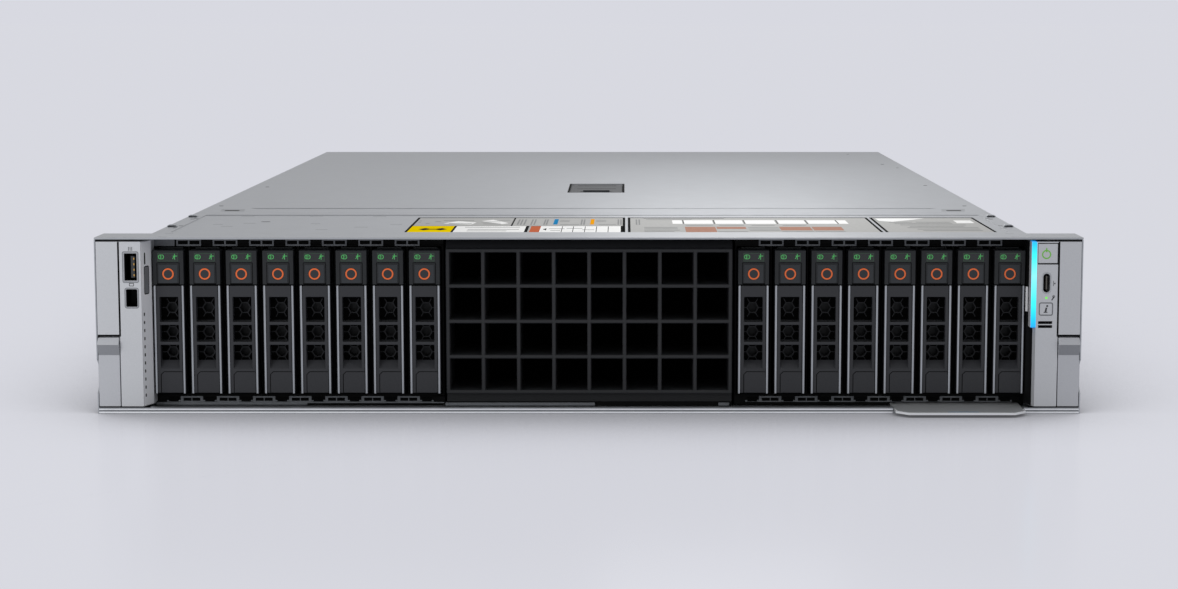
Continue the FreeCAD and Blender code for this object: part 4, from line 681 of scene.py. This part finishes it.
# Faces that look forwards are mixed towards near white: painted highlight.
facing = add(tree, "SeparateXYZ", links={"Vector": add(tree, "NewGeometry").outputs["Normal"]})
forward_highlight = add(tree, "MapRange", {"From Min": -0.45, "From Max": -0.6}, {"Value": facing.outputs["Y"]})
tones = shader.inputs["Base Color"].links[0].from_socket
nose_highlight = add(tree, "MixRGB", {"Color2": linear("e6e8ea")},
                {"Fac": forward_highlight.outputs["Result"], "Color1": tones})
tree.links.new(nose_highlight.outputs["Color"], shader.inputs["Base Color"])
tag_line = surface("pale_blue_print", "5b8fb4", "6498bd", grain=0.5, relief=0.001, roughness=0.4)
dress("info_tag", tag_plastic_and_highlight, 0.25)
tag = extent("info_tag")
tag_top = above_from(tag.front, tag.high)


def across_tag(*steps):
    """An edge round the tag's chamfered front, from its left side to its right: insets and depths."""
    return ([(tag.left + inset, depth) for inset, depth in steps]
            + [(tag.right - inset, depth) for inset, depth in reversed(steps)])


# The rim and nose pieces are near white: painted highlight.
piece("tag_rim", tag_rim_highlight, 0, [
    (tag_top, across_tag((0.1, 12), (0.1, 6.1), (6, 0.1))
     + across_tag((0.8, 12), (0.8, 6.4), (6.3, 0.9))[::-1], (-0.1, 0.03))], "info_tag")
piece("tag_nose", tag_rim_highlight, 0, [
    (tag_top, across_tag((0.05, 6.05), (6, 0.05)) + across_tag((0.3, 6.1), (6.1, 0.3))[::-1],
     (tag.low - tag.high + 0.1, 0.02))], "info_tag")
piece("tag_line", tag_line, 0, blocks(tag_top, (-0.1, 0.04), (174.9, 189.9, 2.4, 3.2)), "info_tag")

# ---------------------------------------------------------------------------
# Inside: boards, fans, heat sink, memory and air shroud, seen when the cover
# is lifted off. Boards are glass-epoxy under green solder mask; moulded pieces
# are black nylon with blue places to hold them by.
solder_mask = surface("green_solder_mask", "17402f", "1f5540", grain=3, relief=0.02, roughness=0.35)
fin_aluminium = surface("aluminium_fins", "a5a8ab", "b3b6b9", grain=0.8, relief=0.004, roughness=0.32,
                        metallic=0.85)
moulded_nylon = surface("moulded_shroud_nylon", "1b1c1e", "222325", grain=0.6, relief=0.02, roughness=0.5)
blue_touch = surface("blue_touch_plastic", "2f6f9e", "377aab", grain=0.6, relief=0.01, roughness=0.4)
chip_epoxy = surface("black_chip_epoxy", "141416", "1b1b1d", grain=0.4, relief=0.01, roughness=0.6)
capacitor_can = surface("capacitor_can", "8a8f94", "9aa0a6", grain=0.5, relief=0.002, roughness=0.3,
                        metallic=0.8)
white_nylon = surface("white_latch_nylon", "d4d4cf", "dededa", grain=0.5, relief=0.004, roughness=0.45)
for name, material, edge in (
        ("backplanes", solder_mask, 0.1), ("system_board", solder_mask, 0.2),
        ("memory_modules", solder_mask, 0.05), ("heat_sink", fin_aluminium, 0.1),
        ("air_shroud", moulded_nylon, 0.5), ("fan_cage", moulded_nylon, 0.4),
        ("riser_cages", galvanised_steel, 0.2)):
    dress(name, material, edge)
FANS = [f"fan_rotor_{number}" for number in range(1, 7)]
for fan in FANS:
    dress(fan, carrier_plastic, 0.2)

cage = extent("fan_cage")
cage_top = above_from(cage.front, cage.high)
fan_middles = [sum(corner.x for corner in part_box(fan)) / 2 / MM for fan in FANS]
piece("fan_pulls", blue_touch, 0.2, [
    (cage_top, soft_rect(middle - 9, middle + 9, 20, 32, 2.5), (-0.3, 0.9)) for middle in fan_middles])
piece("fan_grip_slots", shadow_black, 0, [
    (cage_top, rect(middle + start, middle + start + 2.2, 8, 46), (-0.3, 0.05))
    for middle in fan_middles for start in (-27, -23, 21, 25)])

BOARD_TOP = 8
board = above_from(0, BOARD_TOP)
memory = extent("memory_modules")
SOCKET_TOP = BOARD_TOP + 5.9
module_middles = [sign * (memory.right - 0.7 - 7.6 * k) for sign in (-1, 1) for k in range(12)]
piece("memory_sockets", chip_epoxy, 0, [
    (board, rect(middle + sign * 1.95 - 1.05, middle + sign * 1.95 + 1.05, memory.front, memory.back),
     (5.9, 6.3)) for middle in module_middles for sign in (-1, 1)])
piece("memory_latches", white_nylon, 0.3, [
    (side, [(back, SOCKET_TOP), (back + 4, SOCKET_TOP), (back + 3.2, BOARD_TOP + 15),
            (back + 0.8, BOARD_TOP + 15)], (middle - 2.4, middle + 2.4))
    for middle in module_middles for back in (memory.front - 4.3, memory.back + 0.3)])
piece("memory_chips", chip_epoxy, 0, [
    (side, rect(memory.front + 6 + 12.4 * k, memory.front + 15 + 12.4 * k, BOARD_TOP + 13, BOARD_TOP + 26),
     (middle + 0.69, middle + 1.5)) for middle in module_middles for k in range(10)])

sink = extent("heat_sink")
piece("sink_screws", stainless, 0.3, [
    (above_from(sink.front, sink.high), circle(sign * 46, depth, 3.2, 12), (-2, 1.4))
    for sign in (-1, 1) for depth in (14, 54, 94)])

CHIPS = (                                        # across, depth and half width of each chip on the board
    (-40, 500, 15), (35, 520, 9), (95, 500, 7), (-100, 530, 8), (-40, 560, 7), (60, 470, 6), (0, 610, 11),
    (110, 640, 6), (-110, 640, 6), (170, 330, 10), (-175, 340, 9), (185, 420, 7), (-190, 430, 7))
CAPACITOR_ROWS = ((-62, 272), (14, 272), (-150, 470), (114, 470), (-60, 440), (24, 440), (-20, 655))
SOCKETS = (                                      # across, depth and width
    (-180, 262, 44), (-125, 262, 44), (125, 262, 44), (180, 262, 44), (-195, 480, 30), (195, 480, 30),
    (-60, 690, 60), (80, 600, 70), (-80, 600, 70))
piece("board_chips", chip_epoxy, 0.2, [
    (board, about(across, back, half, half), (-0.1, 2.2)) for across, back, half in CHIPS])
piece("board_capacitors", capacitor_can, 0.4, [
    (board, circle(across + 9 * k, back, 3.4, 12), (-0.1, 9))
    for across, back in CAPACITOR_ROWS for k in range(5)])
piece("board_sockets", chip_epoxy, 0.3, [
    (board, about(across, back, wide / 2, 3.5), (-0.1, 10)) for across, back, wide in SOCKETS])

shroud = extent("air_shroud")
shroud_top = above_from(shroud.front, shroud.high)
RIB_END = shroud.back - shroud.front - 12
piece("shroud_touch_points", blue_touch, 0.3, [
    (shroud_top, soft_rect(sign * 120 - 16, sign * 120 + 16, 14, 34, 4), (-0.4, 1.2)) for sign in (-1, 1)])
piece("shroud_ribs", moulded_nylon, 0.2, [
    (shroud_top, rect(sign * across - 0.9, sign * across + 0.9, 44, RIB_END), (-0.4, 1.4))
    for sign in (-1, 1) for across in (84, 104, 124, 144)])
riser = extent("riser_cages")
riser_top = above_from(riser.front, riser.high)
piece("riser_pulls", blue_touch, 0.3, [
    (riser_top, soft_rect(sign * 80 - 14, sign * 80 + 14, 14, 26, 3), (-0.3, 0.9)) for sign in (-1, 1)])
piece("riser_holes", shadow_black, 0, [
    (riser_top, circle(sign * (34 + 12 * k), 50 + 12 * row, 3.2, 12), (-0.02, 0.02))
    for sign in (-1, 1) for k in range(9) for row in range(7)])

# ---------------------------------------------------------------------------
# Rear wall: blanking plates of stainless strip in the card slots, nickel
# shells with black plastic round the ports, green link lamps and its screws.
wall = front_from(REAR)
port = front_from(REAR, BOARD_TOP)
BLANK = 81                                     # how far the blanking plates are from the middle
BLANK_SILLS = (47.9, 68.2)
SHELL = (-0.3, 0.3)
MOUTH = (0.28, 0.34)
JACKS = (72, 96)
USB_SILLS = (1.4, 8.8)
SCREWS = ((-148, 30), (148, 30), (0, 46), (0, 80), (-148, 12), (120, 30))
piece("slot_blanks", stainless, 0.15, [
    (wall, rect(sign * BLANK - 53.5, sign * BLANK + 53.5, low, low + 12.2), (-2.6, -2.05))
    for sign in (-1, 1) for low in BLANK_SILLS])
piece("slot_blank_holes", shadow_black, 0, [
    (wall, circle(sign * BLANK - 44 + 5.5 * k, low + 3.6 + 5 * row, 1.7, 6), (-2.1, -2.02))
    for sign in (-1, 1) for low in BLANK_SILLS for k in range(17) for row in range(2)])
piece("rear_port_shells", nickel, 0.1, [
    (port, rect(middle - 7.9, middle + 7.9, 0.05, 13.35), SHELL,
     rect(middle - 5.85, middle + 5.85, 2.4, 10.4)) for middle in JACKS] + [
    (port, rect(31.5, 44.5, 0.1, 15.5), SHELL),
    (port, soft_rect(-15.4, 15.4, 0.1, 11.4, 1.5), SHELL),
    (port, rect(-134, -58, 0.1, 13.3), SHELL)])
piece("rear_port_openings", socket_black, 0, [
    (port, rect(32.2, 43.8, low, low + 5.4), MOUTH) for low in USB_SILLS] + [
    (port, rect(left, left + 13, 2.2, 11.4), MOUTH) for left in (-131, -115, -92, -76)] + [
    (port, [(-8.4, 9.6), (-7.2, 2.2), (7.2, 2.2), (8.4, 9.6)], MOUTH)])
piece("rear_port_tongues", blue_touch, 0, [
    (port, rect(32.9, 43.1, low + 2.9, low + 4.5), (0.3, 0.4)) for low in USB_SILLS])
piece("jack_contacts", gold, 0, [
    (port, rect(middle - 4 + 1.1 * k, middle - 3.5 + 1.1 * k, 8.9, 10.2), (-6, -1))
    for middle in JACKS for k in range(8)])
piece("jack_lamps", green_lamp, 0, [
    (port, rect(middle + shift - 1.1, middle + shift + 1.1, 11.2, 12.6), (0.28, 0.4))
    for middle in JACKS for shift in (-4.6, 4.6)])
piece("video_screws", nickel, 0.2, [(port, circle(sign * 12.3, 5.9, 2.2, 6), (0, 1.6)) for sign in (-1, 1)])
piece("rear_screws", stainless, 0.4, [(wall, circle(*screw, 2.4, 16), (-0.1, 1)) for screw in SCREWS])
piece("rear_screw_slots", shadow_black, 0, [
    (wall, about(*screw, 1.5, 0.3), (0.95, 1.03)) for screw in SCREWS])

# ---------------------------------------------------------------------------
# Power supplies: zinc-coated boxes with a pierced guard over the fan, a mains
# inlet with nickel blades in a black shell, a status lamp and a release tab of
# terracotta nylon.
terracotta_nylon = surface("terracotta_nylon", "9c4a2c", "a85534", grain=0.5, relief=0.01, roughness=0.45)
BLADES = ((-7, 4), (7, 4), (0, 8))   # across and up from the inlet's sill
ARMS = [(u * 0.7071, v * 0.7071) for u, v in ((1, 1), (-1, 1), (-1, -1), (1, -1))]
WIRE = 0.35                                      # half the width of the fan guard's wire
for number in (1, 2):
    name = f"psu_{number}"
    dress(name, galvanised_steel, 0.3)
    box = extent(name)
    middle = (box.left + box.right) / 2
    supply = front_from(REAR, box.low, middle)
    inlet = front_from(REAR, box.low + 4, middle - 12)
    fan = front_from(REAR, box.low + 11, middle + 16.5)
    piece(f"psu_inlet_shell_{number}", socket_black, 0, [
        (inlet, rect(-11.9, 11.9, 0.1, 15.9), (-13.9, 0.6), rect(-10.9, 10.9, 1.1, 14.9)),
        (inlet, rect(-11.8, 11.8, 0.2, 15.8), (-13.9, -13))], name)
    piece(f"psu_inlet_blades_{number}", nickel, 0.2, [
        (inlet, rect(across - 1, across + 1, up, up + 4), (-13.5, -2))
        for across, up in BLADES], name)
    piece(f"psu_fan_hole_{number}", shadow_black, 0, [(fan, circle(0, 0, 9.6, 32), (-0.1, 0.05))], name)
    piece(f"psu_fan_guard_{number}", nickel, 0.1, [
        (fan, circle(0, 0, radius + WIRE, 32), (0.5, 1), circle(0, 0, radius - WIRE, 32))
        for radius in (3, 6, 9)] + [
        (fan, spoke(0, 0, arm, 2.8, 10.6, WIRE), (0.1, 0.6)) for arm in ARMS], name)
    piece(f"psu_tab_{number}", terracotta_nylon, 0.4, [
        (supply, soft_rect(24, 28.4, 23, 34, 1), (-0.1, 6))], name)
    piece(f"psu_lamp_{number}", green_lamp, 0, [(supply, circle(-24.5, 36, 1.4, 20), (-0.1, 0.3))], name)
    piece(f"psu_vents_{number}", shadow_black, 0, [
        (supply, circle(-26 + 3.4 * k, up, 1.1, 6), (-0.1, 0.04))
        for k in range(4) for up in (23.5, 26.9, 30.3)], name)

# ---------------------------------------------------------------------------
# Studio: a pale floor that runs on into a pale backdrop, with a soft painted
# shade where things stand on it and a faint sheen. Even light comes from all
# round, with a soft panel over the cover and one before the left ear.
BACKGROUND = "d8d9e1"
FLOOR_REACH = 40000
floor = bpy.data.objects.new("floor", solid("floor", blocks(
    above_from(), (-1, -0.02), (-FLOOR_REACH, FLOOR_REACH, -FLOOR_REACH, FLOOR_REACH))))
bpy.context.scene.collection.objects.link(floor)
floor_paint = bpy.data.materials.new("pale_floor_with_painted_shade")
floor_paint.use_nodes = True
tree = floor_paint.node_tree
tree.nodes.remove(tree.nodes["Principled BSDF"])
# The floor glows evenly and is darkened where it is less open: painted contact shade.
contact = add(tree, "AmbientOcclusion", {"samples": 12, "Distance": 0.2})
shade = add(tree, "ValToRGB", links={"Fac": contact.outputs["AO"]})
for openness, level in (                # how open a place on the floor is, and how light it is there
        (0.45, 0.33), (0.62, 0.56), (0.76, 0.80), (0.87, 0.98)):
    shade.color_ramp.elements.new(openness).color = (level, level, level, 1)
shade.color_ramp.elements[0].color = (0.1, 0.1, 0.1, 1)
shade.color_ramp.elements[-1].position = 0.92
shade.color_ramp.elements[-1].color = (1, 1, 1, 1)
tint = add(tree, "MixRGB", {"blend_type": "MULTIPLY", "Fac": 1, "Color1": linear(BACKGROUND)},
           {"Color2": shade.outputs["Color"]})
glow = add(tree, "Emission", {"Strength": 0.94}, {"Color": tint.outputs["Color"]})
sheen = add(tree, "BsdfAnisotropic", {"Color": (0.07, 0.07, 0.07, 1), "Roughness": 0.2})
both = add(tree, "AddShader")
tree.links.new(glow.outputs["Emission"], both.inputs[0])
tree.links.new(sheen.outputs["BSDF"], both.inputs[1])
tree.links.new(both.outputs["Shader"], tree.nodes["Material Output"].inputs["Surface"])
floor.data.materials.append(floor_paint)

world = bpy.data.worlds.new("studio")
world.use_nodes = True
tree = world.node_tree
backdrop = tree.nodes["Background"]
backdrop.inputs["Color"].default_value = linear(BACKGROUND)
even_light = add(tree, "Background", {"Color": linear("d8d8da"), "Strength": 0.95})
ray = add(tree, "LightPath")
either = add(tree, "MixShader", links={"Fac": ray.outputs["Is Camera Ray"]})
tree.links.new(even_light.outputs["Background"], either.inputs[1])
tree.links.new(backdrop.outputs["Background"], either.inputs[2])
tree.links.new(either.outputs["Shader"], tree.nodes["World Output"].inputs["Surface"])
bpy.context.scene.world = world


def panel(name, place, target, wide, tall, power):
    """A soft light panel that faces its target and isn't seen itself."""
    light = bpy.data.lights.new(name, "AREA")
    light.shape = "RECTANGLE"
    light.size = wide * MM
    light.size_y = tall * MM
    light.energy = power
    item = bpy.data.objects.new(name, light)
    bpy.context.scene.collection.objects.link(item)
    item.location = at(*place)
    item.rotation_euler = (at(*target) - item.location).to_track_quat("-Z", "Y").to_euler()
    item.visible_camera = False
    return item


panel("cover_panel", (85, 270, 250), (85, 270, 87), 170, 620, 0.5)
ear_panel = panel("left_ear_panel", (-430, -330, 160), (-230, 0, 50), 200, 200, 0.6)
ear_panel.visible_glossy = False        # it would show as a bright patch on the floor

CAMERA_DOWN = 6.71                      # degrees below the horizon
camera = bpy.data.objects.new("camera", bpy.data.cameras.new("camera"))
bpy.context.scene.collection.objects.link(camera)
bpy.context.scene.camera = camera
camera.data.lens = 73.1
camera.data.sensor_width = 36
camera.data.shift_x = -0.0304
camera.location = at(17.6, -1159.6, 195.3)
camera.rotation_euler = (math.radians(90 - CAMERA_DOWN), 0, 0)
bpy.context.scene.view_settings.view_transform = "Standard"
